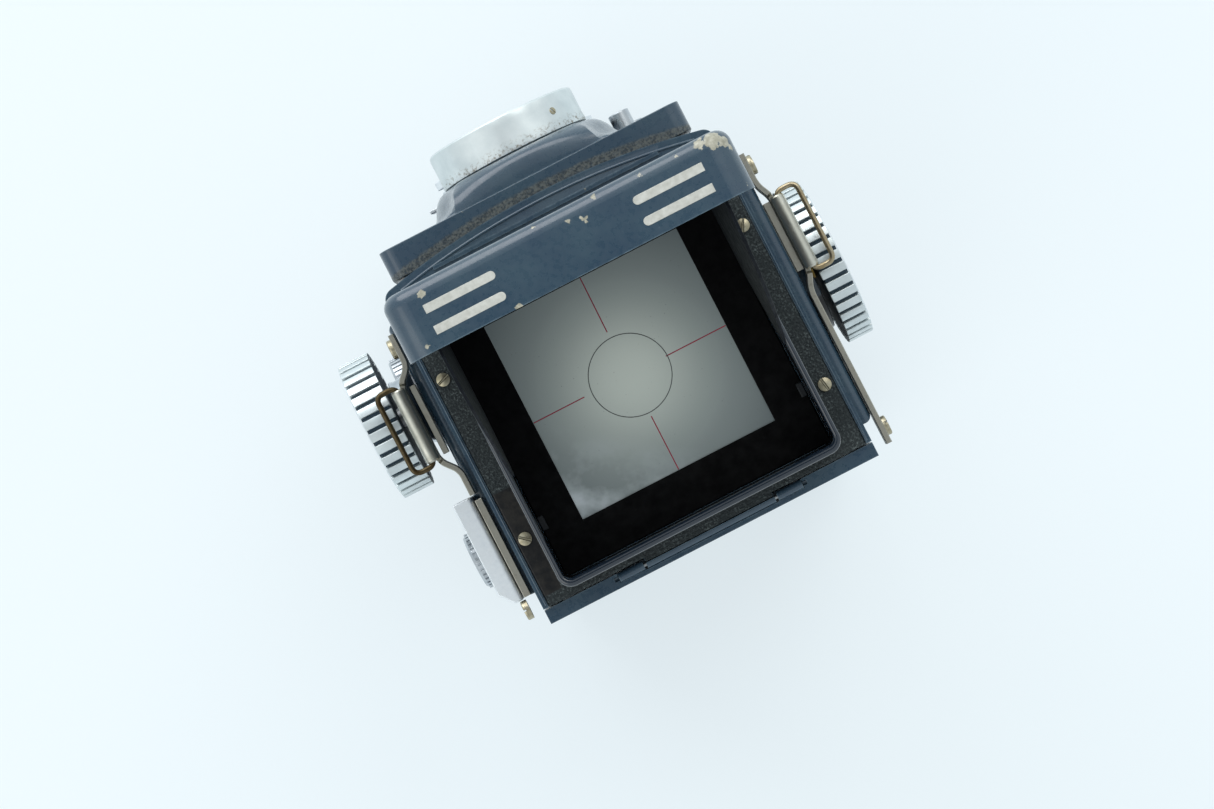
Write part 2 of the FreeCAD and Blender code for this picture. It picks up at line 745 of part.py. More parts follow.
def make_magnifier():
    """A folding lens in a sheet frame, stored flat behind the lid."""
    behind = 0.8 - hood_hinge_front
    hinge = hood_hinge_height + magnifier_hinge
    middle = hinge - 22
    frame = fuse(box((-10.4, 10.4), (behind - 0.3, behind + 0.3), (hinge - 33, hinge)),
                 rod(10.2, (0, behind + 2.2, middle), 2.5, "-Y"),
                 rod(0.95, (-10.4, behind, hinge), 20.8, "+X"))
    keep("magnifier_frame", cut(frame, rod(9.0, (0, behind + 5, middle), 10, "-Y"),
                                rod(0.55, (-12, behind, hinge), 24, "+X")))
    lens = common(ball(28.0, (0, behind + 1.0 - 28.0 + 1.6, middle)),
                  ball(28.0, (0, behind + 1.0 + 28.0 - 1.6, middle)),
                  rod(8.9, (0, behind + 5, middle), 10, "-Y"))
    keep("magnifier_lens", lens)


# Lens unit --------------------------------------------------------------------------------------

def make_lens_board():
    outline = rectangle((-board_half, board_half), (board_low, board_top))
    holes = [(0, viewing_height, barrel_radius + 0.02), (0, taking_height, barrel_radius + 0.02),
             (-26, 12, 2.3)]
    board = plate("lens_board_sheet", "XZ", outline, -board_front, -board_rear, holes)

    def corner(edge):
        return at_corner(edge, Y_AXIS, board_half.number, board_low.number, board_top.number)

    round_edges(board, board_corner, corner)
    collar = cut(rod(3.4, (-26, -board_front, 12), button_collar, "-Y"),
                 rod(2.3, (-26, -board_front + 1, 12), 5, "-Y"))
    skirt = plate("lens_board_skirt", "XZ", outline, -board_front, -board_skirt)
    round_edges(skirt, board_corner, corner)
    room = box((-board_half + board_wall, board_half - board_wall), (-board_front - 1, 0),
               (board_low + board_wall, board_top - board_wall))
    # the posts stand so close to the skirt that its wall is relieved round them
    reliefs = [rod(post_radius + 0.1, (side * cam_across, -board_front - 1, height), 10, "+Y")
               for side, height in ((-1, 8), (-1, 91), (1, 8), (1, 91), (1, focus_z))]
    keep("lens_board", fuse(board, collar, cut(skirt, room, *reliefs)))


def make_front_cover():
    """Two tapered drums and the waist between them, spun and pressed in one sheet cover."""
    depth = cover_front - board_front
    drums = [cone(cover_radius, 17.2, (0, -board_front, height), depth, "-Y")
             for height in (viewing_height, taking_height)]
    waist = box((-13.5, 13.5), (-cover_front + 1.2, -board_front), (taking_height, viewing_height))
    bores = [rod(barrel_radius + 0.02, (0, -board_front + 1, height), depth + 2, "-Y")
             for height in (viewing_height, taking_height)]
    keep("front_cover", cut(fuse(*drums, waist), *bores))


def make_barrels():
    for name, height, rear, front in (("viewing_barrel", viewing_height, 26, 56.0),
                                      ("taking_barrel", taking_height, 28, 54.5)):
        profile = [(barrel_bore, rear), (barrel_radius, rear), (barrel_radius, front),
                   (barrel_bore + 1.2, front), (barrel_bore + 1.2, front - 1.5), (barrel_bore, front - 1.5)]
        keep(name, turned(name, profile, (0, 0, height), "-Y"))


def make_rings():
    """Fluted filter rings on the front of both barrels."""
    fit = barrel_radius + 0.05
    viewing = [(fit, 49.5), (ring_radius, 49.5), (ring_radius, ring_front - 0.6),
               (ring_radius - 0.6, ring_front), (12.9, ring_front), (12.9, 56.1), (fit, 56.1)]
    taking = [(12.6, 54.6), (ring_radius, 54.6), (ring_radius, ring_front - 0.6),
              (ring_radius - 0.6, ring_front), (12.6, ring_front)]
    for name, profile, height in (("viewing_ring", viewing, viewing_height),
                                  ("taking_ring", taking, taking_height)):
        ring = turned(name, profile, (0, 0, height), "-Y")
        keep(name, notches(ring, 18, ring_radius, 0.45, as_size(2.6)))


def lens_element(name, height, middle, thick, radius=element_radius):
    """A biconvex lens: what two equal balls share."""
    bend = (radius * radius + thick * thick / 4) / thick
    spheres = [ball(bend, (0, -middle + side * (bend - thick / 2), height)) for side in (-1, 1)]
    keep(name, common(*spheres))


def make_shutter():
    """Five closed leaves of a between-lens shutter."""
    leaves = []
    for number in range(5):
        leaf = doc.addObject("Part::Cylinder", "leaf")
        bind(leaf, "Radius", element_radius - 0.3)
        bind(leaf, "Height", 0.3)
        leaf.Angle = 71
        turn = FACING["-Y"].multiply(Rotation(Z_AXIS, 72 * number))
        place(leaf, (0, -36.0, taking_height), turn)
        leaves.append(leaf)
    keep("shutter_blades", group(*leaves))


def control_ring(name, low, high, radius, tab_turn):
    """A ring round the taking lens with a finger tab."""
    bore = barrel_radius + 0.08
    ring = turned(name + "_ring", [(bore, low), (radius, low), (radius, high), (bore, high)],
                  (0, 0, taking_height), "-Y")
    tab = doc.addObject("Part::Box", "tab")
    bind(tab, "Length", 3.4)
    bind(tab, "Width", 3.6)
    bind(tab, "Height", as_size(high) - low)
    turn = Rotation(Y_AXIS, tab_turn).multiply(FACING["-Y"])
    corner = Placement(Vector(radius - 0.6, -1.8, low), Rotation())
    tab.Placement = Placement(Vector(0, 0, taking_height.number), turn).multiply(corner)
    keep(name, fuse(ring, tab))


def make_release():
    button = fuse(rod(2.2, (-26, -board_rear - 0.1, 12), 5.4, "-Y"),
                  rod(2.9, (-26, -board_rear - 5.5, 12), 1.6, "-Y"))
    thread = cone(1.6, 1.1, (-26, -board_rear - 7.1, 12), 3, "+Y")
    keep("shutter_button", cut(button, thread))
    socket = cut(rod(2.3, (-23.6, -board_front, 38), 7.0, "-Y"),
                 rod(1.5, (-23.6, -board_front - 3.5, 38), 5, "-Y"))
    keep("sync_socket", fuse(socket, rod(0.5, (-23.6, -board_front - 3.4, 38), 2.6, "-Y")))


def make_posts():
    """Four guide posts behind the lens board, and the rod that the focusing cam pushes."""
    rods = [rod(post_radius, (side * cam_across, -board_rear, height), 15.8, "+Y")
            for side in (-1, 1) for height in (8, 91)]
    reach = board_rear + focus_y - cam_rest - 0.15
    pusher = fuse(rod(1.5, (cam_across, -board_rear, focus_z), reach - 1.5, "+Y"),
                  ball(1.5, (cam_across, reach - 1.5 - board_rear, focus_z)))
    keep("guide_posts", group(*rods, pusher))


# Focusing and winding ---------------------------------------------------------------------------

def knob(name, facing, at, radius, width, bars):
    """A flat knob with bright bars round its rim."""
    bore = 2.03 if facing == "+X" else shaft_radius + 0.03
    profile = [(bore, 0), (radius - 1.2, 0), (radius, 0.7), (radius, width - 0.7), (radius - 0.8, width),
               (0, width), (0, width - 1.6), (bore, width - 1.6)]
    body = turned(name, profile, at, facing)
    pitch = 2 * math.pi * radius / bars
    keep(name, notches(body, bars, radius, 0.45, pitch * 0.32))


def make_camshaft():
    """The focusing shaft and its cam, whose edge rises evenly as it turns."""
    points = []
    spare = 20
    first, last = -108 - spare, 162 + spare
    steps = 48
    for step in range(steps + 1):
        turn = math.radians(first + (last - first) * step / steps)
        radius = cam_rest.number + cam_rise.number * turn
        # the cam's front point, at -Y, is the one that pushes when the shaft stands at this turn
        angle = math.pi - turn
        points.append(Vector(radius * math.cos(angle), radius * math.sin(angle), 0))
    curve = Part.BSplineCurve()
    curve.interpolate(points)
    rim = Part.Wire([curve.toShape(), Part.makeLine(points[-1], points[0])])
    disc = Part.Face(rim).extrude(Vector(0, 0, 2))
    shaft = Part.makeCylinder(2.0, 20.6, Vector(0, 0, -0.6))
    cam = doc.addObject("Part::Feature", "focus_camshaft")
    cam.Shape = disc.fuse(shaft).removeSplitter()
    place(cam, (cam_across - 1, focus_y, focus_z), "+X")
    keep("focus_camshaft", cam)


def gear_face(teeth, module, backlash):
    """The outline of a spur gear with involute flanks, a tooth centred on the local x axis."""
    pressure = math.radians(20)
    pitch = teeth * module / 2
    base = pitch * math.cos(pressure)
    root = pitch - 1.25 * module
    tip = pitch + 0.95 * module
    half = math.pi / (2 * teeth) + math.tan(pressure) - pressure - backlash / (2 * pitch)
    flank = []
    for step in range(6):
        radius = max(base, root) + (tip - max(base, root)) * step / 5
        lean = math.sqrt(max((radius / base) ** 2 - 1, 0))
        flank.append((radius, half - (lean - math.atan(lean))))
    corners = []
    for tooth in range(teeth):
        middle = 2 * math.pi * tooth / teeth
        outline = [(root, -flank[0][1])] + [(radius, -angle) for radius, angle in flank]
        outline += [(radius, angle) for radius, angle in reversed(flank)] + [(root, flank[0][1])]
        for radius, angle in outline:
            corners.append(Vector(radius * math.cos(middle + angle), radius * math.sin(middle + angle), 0))
    return Part.Face(Part.makePolygon(corners + corners[:1]))


def mesh_turns():
    """How far the two gears are turned at rest, so that a tooth of one meets a gap of the other."""
    toward = math.degrees(math.atan2(takeup_z.number - wind_z.number, takeup_y.number - wind_y.number))
    return toward, toward + 180 + 180 / takeup_teeth.number


def make_gears():
    """The winding gear turns the smaller take-up gear; each is one piece with its shaft."""
    wind_turn, takeup_turn = mesh_turns()
    thick = gear_high.number - gear_low.number
    lift = gear_low.number
    for name, teeth, along, up, turn in (
            ("wind_gear", wind_teeth, wind_y, wind_z, wind_turn),
            ("takeup_gear", takeup_teeth, takeup_y, takeup_z, takeup_turn)):
        wheel = gear_face(int(teeth.number), gear_module.number, 0.2).extrude(Vector(0, 0, thick))
        if name == "wind_gear":
            shaft = Part.makeCylinder(shaft_radius.number, 45.6 - 29.9, Vector(0, 0, -45.6 - lift))
            solid = wheel.fuse(shaft)
        else:
            shaft = Part.makeCylinder(shaft_radius.number, -25.0 - lift, Vector(0, 0, 0))
            blade = Part.makeBox(1.0, 7.6, 1.6, Vector(-0.5, -3.8, -25.0 - lift))
            solid = wheel.fuse([shaft, blade])
        gear = doc.addObject("Part::Feature", name)
        gear.Shape = solid.removeSplitter()
        keep(name, place(gear, (gear_low, along, up), FACING["+X"].multiply(Rotation(Z_AXIS, turn))))


def make_spool(name, along, up, slot_turn):
    """A film spool: a hollow core between two flanges, slotted at the driven end."""
    length = 2 * spool_half
    profile = [(2.5, 0), (spool_radius, 0), (spool_radius, 1.2), (4.0, 1.2), (4.0, length - 1.2),
               (spool_radius, length - 1.2), (spool_radius, length), (2.5, length)]
    spool = turned(name + "_turned", profile, (-spool_half, along, up), "+X")
    slot = doc.addObject("Part::Box", "slot")
    bind(slot, "Length", 1.4)
    bind(slot, "Width", 8.0)
    bind(slot, "Height", 3.0)
    turn = FACING["+X"].multiply(Rotation(Z_AXIS, slot_turn))
    corner = Placement(Vector(-0.7, -4.0, -0.5), Rotation())
    middle = Placement(Vector(-spool_half.number, along.number, up.number), turn)
    slot.Placement = middle.multiply(corner)
    keep(name, cut(spool, slot))


def make_pull_knob(name, along, up):
    """A knurled knob on a sprung pin that holds one end of a spool."""
    head = turned(name + "_head", [(0, 40.0), (5.4, 40.0), (6.0, 40.6), (6.0, 44.5), (5.5, 45.0), (0, 45.0)],
                  (0, along, up), "+X")
    notches(head, 30, as_size(6.0), 0.3, as_size(0.6))
    pin = rod(2.4, (22.0, along, up), 18.2, "+X")
    keep(name, fuse(head, pin))


def make_roller(name, height):
    barrel = rod(2.0, (-25.9, roller_y, height), 51.8, "+X")
    journal = rod(0.74, (-27.3, roller_y, height), 54.6, "+X")
    keep(name, fuse(barrel, journal))


# Back door --------------------------------------------------------------------------------------

def make_door():
    """A shallow pressed tray that hinges at the top edge of the back."""
    hinge_deep = (door_inner - 1, door_skin + 0.25)
    hinge_room = (door_hinge_z - door_knuckle - 0.3, door_top + 1)
    hinge_gaps = [box(across, hinge_deep, hinge_room)
                  for across in ((-door_hinge_half - 0.3, door_hinge_half + 0.3),
                                 (-20.1, -14.3), (14.3, 20.1))]
    tray = cut(box((-door_half, door_half), (door_inner, door_outer), (door_low, door_top)),
               box((-door_half + 1.2, door_half - 1.2), (door_inner - 1, door_skin),
                   (door_low + 1.2, door_top - 2.6)),
               *hinge_gaps)
    knuckles = [fuse(rod(door_knuckle, (low, door_hinge_y, door_hinge_z), 5.4, "+X"),
                     box((low, low + 5.4), (door_hinge_y + 0.3, door_outer - 0.1),
                         (door_hinge_z - door_knuckle, door_hinge_z - 0.1)))
                for low in (-20, 14.6)]
    bosses = [rod(2.4, (side * 12, door_skin + 0.5, taking_height), 2.2, "-Y") for side in (-1, 1)]
    bores = [rod(1.35, (side * 12, door_skin, taking_height), 5, "-Y") for side in (-1, 1)]
    bores.append(rod(0.5, (-21, door_hinge_y, door_hinge_z), 42, "+X"))
    keep("back_door", cut(fuse(tray, *knuckles, *bosses), *bores))
    pressure = fuse(box((-24, 24), (film_plane + 0.5, film_plane + 1.7), (14, 58)),
                    *(rod(1.25, (side * 12, film_plane + 1.6, taking_height), 3.3, "+Y") for side in (-1, 1)))
    keep("pressure_plate", pressure)
    latch = fuse(box((-7, 7), (door_outer + 0.1, door_outer + 0.7), (4, 9)),
                 *(box((at - 0.4, at + 0.4), (door_outer + 0.5, door_outer + 1.3), (4.6, 8.4))
                   for at in (-4, -2, 0, 2, 4)))
    keep("door_latch", latch)


# Strap brackets, shoe and screws ----------------------------------------------------------------

def make_bracket(name, side, strip, lug, rear_end):
    """A strap strip that steps out to a rolled barrel for the wire ring."""
    inner, outer = strip, strip + strip_thick
    reach = lug + 0.3
    front = [(inner, -28), (outer, -28), (outer, -20.6), (reach, lug_front + 0.4),
             (reach - 1.4, lug_front + 1), (inner, -19.6)]
    rear = [(reach, lug_rear - 0.4), (outer, 1.8), (outer, rear_end), (inner, rear_end), (inner, 0.8),
            (reach - 1.4, lug_rear - 1)]
    arms = []
    for part, points in (("front", front), ("rear", rear)):
        points = [(side * across, along) for across, along in points]
        arms.append(plate(f"{name}_{part}", "XY", points, strip_low, strip_top))
    tube = rod(lug_radius, (side * lug, lug_front, barrel_z), lug_rear - lug_front, "+Y")
    bore = rod(lug_bore, (side * lug, lug_front - 3, barrel_z), lug_rear - lug_front + 6, "+Y")
    holes = [rod(0.9, (side * (strip - 1), along, 101.2), 4, "+X" if side > 0 else "-X")
             for along in (-25.3, 31.8)]
    # the wire's two bends need room at both ends of the barrel
    middle = side * (lug + 0.3)
    rooms = [box((middle - 2.2, middle + 2.2), along, (101.2, 105))
             for along in ((lug_front - 1.9, lug_front), (lug_rear, lug_rear + 1.9))]
    keep(name, cut(fuse(*arms, tube), bore, *holes, *rooms))


def make_wire_ring(name, side, lug):
    """A bent wire ring that turns in the bracket's barrel."""
    rise = 0.5
    front, rear = lug_front - 0.75, lug_rear + 0.75
    run = math.hypot(ring_reach.number, rise)
    lean = Rotation(Vector(0, 0, 1), Vector(side * ring_reach.number, 0, rise))
    wires = [rod(wire_radius, (side * lug, front, barrel_z), rear - front, "+Y"),
             rod(wire_radius, (side * (lug + ring_reach), front, barrel_z + rise), rear - front, "+Y")]
    for along in (front, rear):
        wires.append(rod(wire_radius, (side * lug, along, barrel_z), run, lean))
        wires.append(ball(wire_radius, (side * lug, along, barrel_z)))
        wires.append(ball(wire_radius, (side * (lug + ring_reach), along, barrel_z + rise)))
    keep(name, fuse(*wires))


def make_shoe():
    """A bent channel that takes an accessory foot from behind."""
    low, high = shoe_low, shoe_top
    foot_low, foot_high = low + shoe_sheet, high - shoe_sheet
    block = plate("shoe_block", "YZ", rectangle((shoe_front, shoe_rear), (low, high)), shoe_inner, shoe_outer)

    def inner_bend(edge):
        return runs_along(edge, Y_AXIS) and abs(edge.CenterOfMass.x) < 1e-3

    round_edges(block, 1.0, inner_bend)
    foot_room = box((shoe_inner + shoe_sheet, shoe_outer - shoe_sheet), (shoe_front - 1, shoe_rear + 1),
                    (foot_low, foot_high))
    mouth = box((shoe_outer - 2, shoe_outer + 1), (shoe_front - 1, shoe_rear + 1),
                (foot_low + 3, foot_high - 3))
    bevel = [(shoe_outer + 1, shoe_rear - 4.2), (shoe_outer + 1, shoe_rear + 1),
             (shoe_inner + 1.0, shoe_rear + 1)]
    lead_in = plate("shoe_lead_in", "XY", bevel, low - 1, high + 1)
    keep("accessory_shoe", cut(block, foot_room, mouth, lead_in))


def make_bracket_plates():
    """Small backing plates under the two barrels and behind the shoe."""
    left = box((38.15, 39.4), (lug_front + 0.4, lug_rear - 0.4), (strip_low, 101.4))
    right = box((-39.7, -38.15), (lug_front + 0.4, lug_rear - 0.4), (strip_low, 101.4))
    shoe_base = box((36.7, 38.2), (shoe_front + 1, shoe_rear - 0.2), (strip_low, 102.6))
    keep("bracket_plates", group(left, right, shoe_base))


def slotted_screw(at, facing, head, thick, shank, length):
    """A cheese-head screw: its head stands on the surface and its shank goes behind it."""
    back = {"+Z": "down", "+X": "-X", "-X": "+X"}[facing]
    disc = rod(head, at, thick, facing)
    if back == "down":
        stem = rod(shank, (at[0], at[1], at[2] - length), length)
        slot = box((at[0] - 0.2, at[0] + 0.2), (at[1] - 2, at[1] + 2), (at[2] + thick / 2, at[2] + 2))
    else:
        stem = rod(shank, at, length, back)
        side = 1 if facing == "+X" else -1
        reach = sorted((side * (abs(at[0].number) + thick * 0.5), side * (abs(at[0].number) + 3)))
        slot = box(reach, (at[1] - 2, at[1] + 2), (at[2] - 0.2, at[2] + 0.2))
    return cut(fuse(disc, stem), slot)


def make_screws():
    deck = [slotted_screw((across, along, deck_top), "+Z", 1.2, 0.5, 0.8, flange_sink)
            for across, along in screw_places()]
    sides = []
    for facing, face in (("+X", left_strip + strip_thick), ("-X", -right_strip - strip_thick)):
        depth = face - body_half if facing == "+X" else -face - body_half
        for along in (-25.3, 31.8):
            stem = depth if along > 0 else as_size(strip_thick)
            sides.append(slotted_screw((face, along, 101.2), facing, 1.95, 1.0, 0.85, stem))
    keep("screws", group(*deck, *sides))


# All the pieces ---------------------------------------------------------------------------------

make_body_shell()
make_cheeks()
make_base()
make_focus_boss()
make_mirror()
make_screen()
make_light_box()
make_film_gate()
make_side_plates()
make_hood_base()
make_hinge_pins()
make_lid()
make_liner()
make_lid_pins()
make_wing("hood_wing_left", 1, left_wing_offset, as_size(7.3))
make_wing("hood_wing_right", -1, right_wing_offset, as_size(8.5))
make_magnifier()
make_lens_board()
make_front_cover()
make_barrels()
make_rings()
lens_element("viewing_front_element", viewing_height, 51.5, 5.0)
lens_element("viewing_rear_element", viewing_height, 42.0, 3.6)
lens_element("taking_front_element", taking_height, 50.0, 4.6)
lens_element("taking_rear_element", taking_height, 32.0, 4.0)
make_shutter()
control_ring("speed_ring", 50.6, 52.4, 17.2, -150)
control_ring("aperture_ring", 52.6, 54.4, 16.6, -30)
control_ring("shutter_lever", 49.6, 50.4, 18.6, 8)
make_release()
make_posts()
knob("focus_knob", "+X", (focus_knob_inner, focus_y, focus_z), focus_knob_radius,
     focus_knob_outer - focus_knob_inner, 34)
knob("wind_knob", "-X", (-wind_knob_inner, wind_y, wind_z), wind_knob_radius,
     wind_knob_outer - wind_knob_inner, 40)
make_camshaft()
make_gears()
make_spool("takeup_spool", takeup_y, takeup_z, mesh_turns()[1])
make_spool("supply_spool", supply_y, supply_z, 0)
make_pull_knob("upper_spool_knob", takeup_y, takeup_z)
make_pull_knob("lower_spool_knob", supply_y, supply_z)
make_roller("lower_roller", lower_roller_z)
make_roller("upper_roller", upper_roller_z)
make_door()
make_bracket("left_strap_bracket", 1, left_strip, left_lug, as_size(7.0))
make_bracket("right_strap_bracket", -1, right_strip, right_lug, as_size(35.1))
make_wire_ring("left_d_ring", 1, left_lug)
make_wire_ring("right_d_ring", -1, right_lug)
make_shoe()
make_bracket_plates()
make_screws()
doc.recompute()

# Check everything, then write it ----------------------------------------------------------------

for item in doc.Objects:
    if "Invalid" in item.State or "Error" in item.State:
        raise RuntimeError(f"{item.Label}: {item.State}")
for name, item in pieces.items():
    if item.Shape.isNull() or not item.Shape.isValid() or not item.Shape.Solids:
        raise RuntimeError(f"{name}: not a valid solid")
for name, item in pieces.items():
    item.Shape.exportStep(f"parts/{name}.step")
print(len(pieces), "pieces written")
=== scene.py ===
# %% [markdown]
# A twin lens reflex camera, seen from above with its focusing hood open.
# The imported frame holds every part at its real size.  This lesson gives each part its finish,
# rounds the edges that a press or a mould would round, and builds the parts that need finer shapes.

# %% Load the frame
import json
import math

import bmesh
import bpy
from mathutils import Matrix, Vector


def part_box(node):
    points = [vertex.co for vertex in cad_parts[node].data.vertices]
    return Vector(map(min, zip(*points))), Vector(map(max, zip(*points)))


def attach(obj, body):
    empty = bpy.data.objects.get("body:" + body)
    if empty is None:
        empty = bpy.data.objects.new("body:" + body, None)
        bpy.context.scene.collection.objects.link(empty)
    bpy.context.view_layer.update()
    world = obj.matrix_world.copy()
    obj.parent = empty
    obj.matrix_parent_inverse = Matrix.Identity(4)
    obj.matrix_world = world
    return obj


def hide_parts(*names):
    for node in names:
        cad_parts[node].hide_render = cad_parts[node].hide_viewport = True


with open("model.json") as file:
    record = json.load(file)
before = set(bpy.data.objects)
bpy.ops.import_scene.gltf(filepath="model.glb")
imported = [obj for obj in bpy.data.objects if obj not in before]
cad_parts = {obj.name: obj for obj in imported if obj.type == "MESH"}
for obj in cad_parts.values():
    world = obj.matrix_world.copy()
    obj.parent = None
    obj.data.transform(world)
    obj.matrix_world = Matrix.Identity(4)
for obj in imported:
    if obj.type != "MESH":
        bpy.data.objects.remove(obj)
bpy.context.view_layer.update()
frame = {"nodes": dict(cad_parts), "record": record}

MM = 0.001
RECORD = frame["record"]
BODY_OF = {node: body for body, nodes in RECORD["behaviour"]["bodies"].items() for node in nodes}
SLOT_OF = {entry["node"]: entry["material_slot"] for entry in RECORD["subparts"]}
print(len(BODY_OF), "parts in the frame")

# %% [markdown]
# Real sizes that several cells share, in millimetres.  +Z is up, the lenses look along -Y, and +X is
# the focusing side.  The screen and both lens axes are the camera's own datum lines.

# %% Shared sizes
VIEWING_Z = 75.0
TAKING_Z = 36.0
SCREEN_TOP = 100.0
LID_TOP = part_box("hood_lid")[1].z / MM
INLAY = 0.06
LENS_FRONT = 57.2
FLANGE_TOP = 105.0
print("lid top at", round(LID_TOP, 1), "mm")


# %% [markdown]
# Every finish is a small node tree.  One helper adds a node with its settings and links, and one
# turns an sRGB hex colour into the linear values that a shader works in.

# %% Helpers for materials
def linear(hex_colour):
    """An sRGB hex colour as linear RGBA."""
    values = [int(hex_colour[at:at + 2], 16) / 255 for at in (1, 3, 5)]
    return [v / 12.92 if v <= 0.04045 else ((v + 0.055) / 1.055) ** 2.4 for v in values] + [1.0]


def add(tree, kind, inputs=None, **settings):
    """Add a node; an input is a number, a colour or another node's socket."""
    node = tree.nodes.new(kind)
    for name, value in settings.items():
        setattr(node, name, value)
    for name, value in (inputs or {}).items():
        if isinstance(value, bpy.types.NodeSocket):
            tree.links.new(value, node.inputs[name])
        else:
            node.inputs[name].default_value = value
    return node


def start_material(name, hex_colour, metallic, roughness, **fixed):
    """A material with its uniform values set on the shader's own sockets."""
    material = bpy.data.materials.new(name)
    material.use_nodes = True
    tree = material.node_tree
    shader = tree.nodes["Principled BSDF"]
    shader.inputs["Base Color"].default_value = linear(hex_colour)
    shader.inputs["Metallic"].default_value = metallic
    shader.inputs["Roughness"].default_value = roughness
    for socket, value in fixed.items():
        shader.inputs[socket.replace("_", " ")].default_value = value
    place = add(tree, "ShaderNodeTexCoord").outputs["Object"]
    return material, tree, shader, place


def noise(tree, place, size_mm, detail=3.0, rough=0.55):
    """Noise whose features are about size_mm across."""
    return add(tree, "ShaderNodeTexNoise", {"Vector": place, "Scale": 1 / (size_mm * MM), "Detail": detail,
                                            "Roughness": rough}).outputs["Fac"]


def ramp(tree, value, low, high, out_low=0.0, out_high=1.0):
    return add(tree, "ShaderNodeMapRange", {"Value": value, "From Min": low, "From Max": high,
                                            "To Min": out_low, "To Max": out_high}).outputs["Result"]


def calc(tree, operation, first, second=0.0):
    return add(tree, "ShaderNodeMath", {0: first, 1: second}, operation=operation).outputs[0]


def times(tree, first, second):
    return calc(tree, "MULTIPLY", first, second)


def mix(tree, factor, first, second):
    """Mix two colours, given as hex text or as sockets."""
    first = linear(first) if isinstance(first, str) else first
    second = linear(second) if isinstance(second, str) else second
    node = add(tree, "ShaderNodeMix", {0: factor, 6: first, 7: second}, data_type="RGBA")
    return node.outputs[2]


def bump(tree, shader, height, depth_mm, strength=1.0):
    node = add(tree, "ShaderNodeBump", {"Height": height, "Distance": depth_mm * MM, "Strength": strength})
    tree.links.new(node.outputs["Normal"], shader.inputs["Normal"])


def feed(tree, shader, base, rough):
    """Link a colour and a roughness into a shader."""
    tree.links.new(base, shader.inputs["Base Color"])
    tree.links.new(rough, shader.inputs["Roughness"])


def worn_edge(tree, width_mm, keenness=(0.02, 0.25)):
    """Where a surface turns within width_mm: a worn or polished edge."""
    rounded = add(tree, "ShaderNodeBevel", {"Radius": width_mm * MM}, samples=4).outputs["Normal"]
    true = add(tree, "ShaderNodeNewGeometry").outputs["Normal"]
    same = add(tree, "ShaderNodeVectorMath", {0: rounded, 1: true}, operation="DOT_PRODUCT").outputs["Value"]
    return ramp(tree, calc(tree, "SUBTRACT", 1.0, same), keenness[0], keenness[1])


# %% [markdown]
# Enamel.  The casting, lid and lens panel are stove-enamelled a dark blue-grey.  Handling has rubbed
# the edges paler and chipped some spots down to a cream primer.

# %% Enamel
def enamel_colour(tree, place, hex_colour, chips, edge_strength):
    """Dark enamel with paler rubbed edges, cream chips and dust, as a colour socket."""
    base = mix(tree, ramp(tree, noise(tree, place, 9.0), 0.35, 0.65), hex_colour, "#344957")
    rubbed = times(tree, worn_edge(tree, 0.5), ramp(tree, noise(tree, place, 2.2), 0.3, 0.62))
    base = mix(tree, times(tree, rubbed, edge_strength), base, "#7f949f")
    chipped = times(tree, worn_edge(tree, 1.1, (0.01, 0.05)),
                   ramp(tree, noise(tree, place, 2.6, 5.0, 0.7), chips, chips + 0.02))
    base = mix(tree, chipped, base, "#b3ae9b")
    dust = ramp(tree, noise(tree, place, 0.35, 2.0), 0.68, 0.82, 0.0, 0.3)
    return mix(tree, dust, base, "#71818a")


def make_enamel(name, hex_colour="#2b4051", chips=0.70, edge_strength=0.5, extra=None):
    material, tree, shader, place = start_material(name, hex_colour, 0.0, 0.3, Coat_Weight=0.5,
                                                   Coat_Roughness=0.1)
    base = enamel_colour(tree, place, hex_colour, chips, edge_strength)
    rough = ramp(tree, noise(tree, place, 1.2), 0.3, 0.7, 0.22, 0.38)
    if extra:
        base, rough = extra(tree, place, base, rough)
    feed(tree, shader, base, rough)
    bump(tree, shader, noise(tree, place, 1.6), 0.02, 0.5)
    return material


def parts_of(tree, place):
    """The three coordinates of a place, in metres."""
    return add(tree, "ShaderNodeSeparateXYZ", {0: place}).outputs


def inside(tree, value, low_mm, high_mm, soft_mm=0.15):
    """One between two limits and zero outside them."""
    rise = ramp(tree, value, low_mm * MM, (low_mm + soft_mm) * MM)
    fall = ramp(tree, value, (high_mm - soft_mm) * MM, high_mm * MM, 1.0, 0.0)
    return times(tree, rise, fall)


def near(tree, place, at_mm, radius_mm, ragged_mm=0.8, size_mm=1.6):
    """A ragged patch round one point."""
    off = add(tree, "ShaderNodeVectorMath", {0: place, 1: tuple(v * MM for v in at_mm)}, operation="SUBTRACT")
    far = add(tree, "ShaderNodeVectorMath", {0: off.outputs["Vector"]}, operation="LENGTH").outputs["Value"]
    swing = calc(tree, "SUBTRACT", noise(tree, place, size_mm, 5.0, 0.6), 0.5)
    ragged = times(tree, swing, ragged_mm * 4 * MM)
    return ramp(tree, calc(tree, "ADD", far, ragged), (radius_mm - 0.12) * MM, radius_mm * MM, 1.0, 0.0)


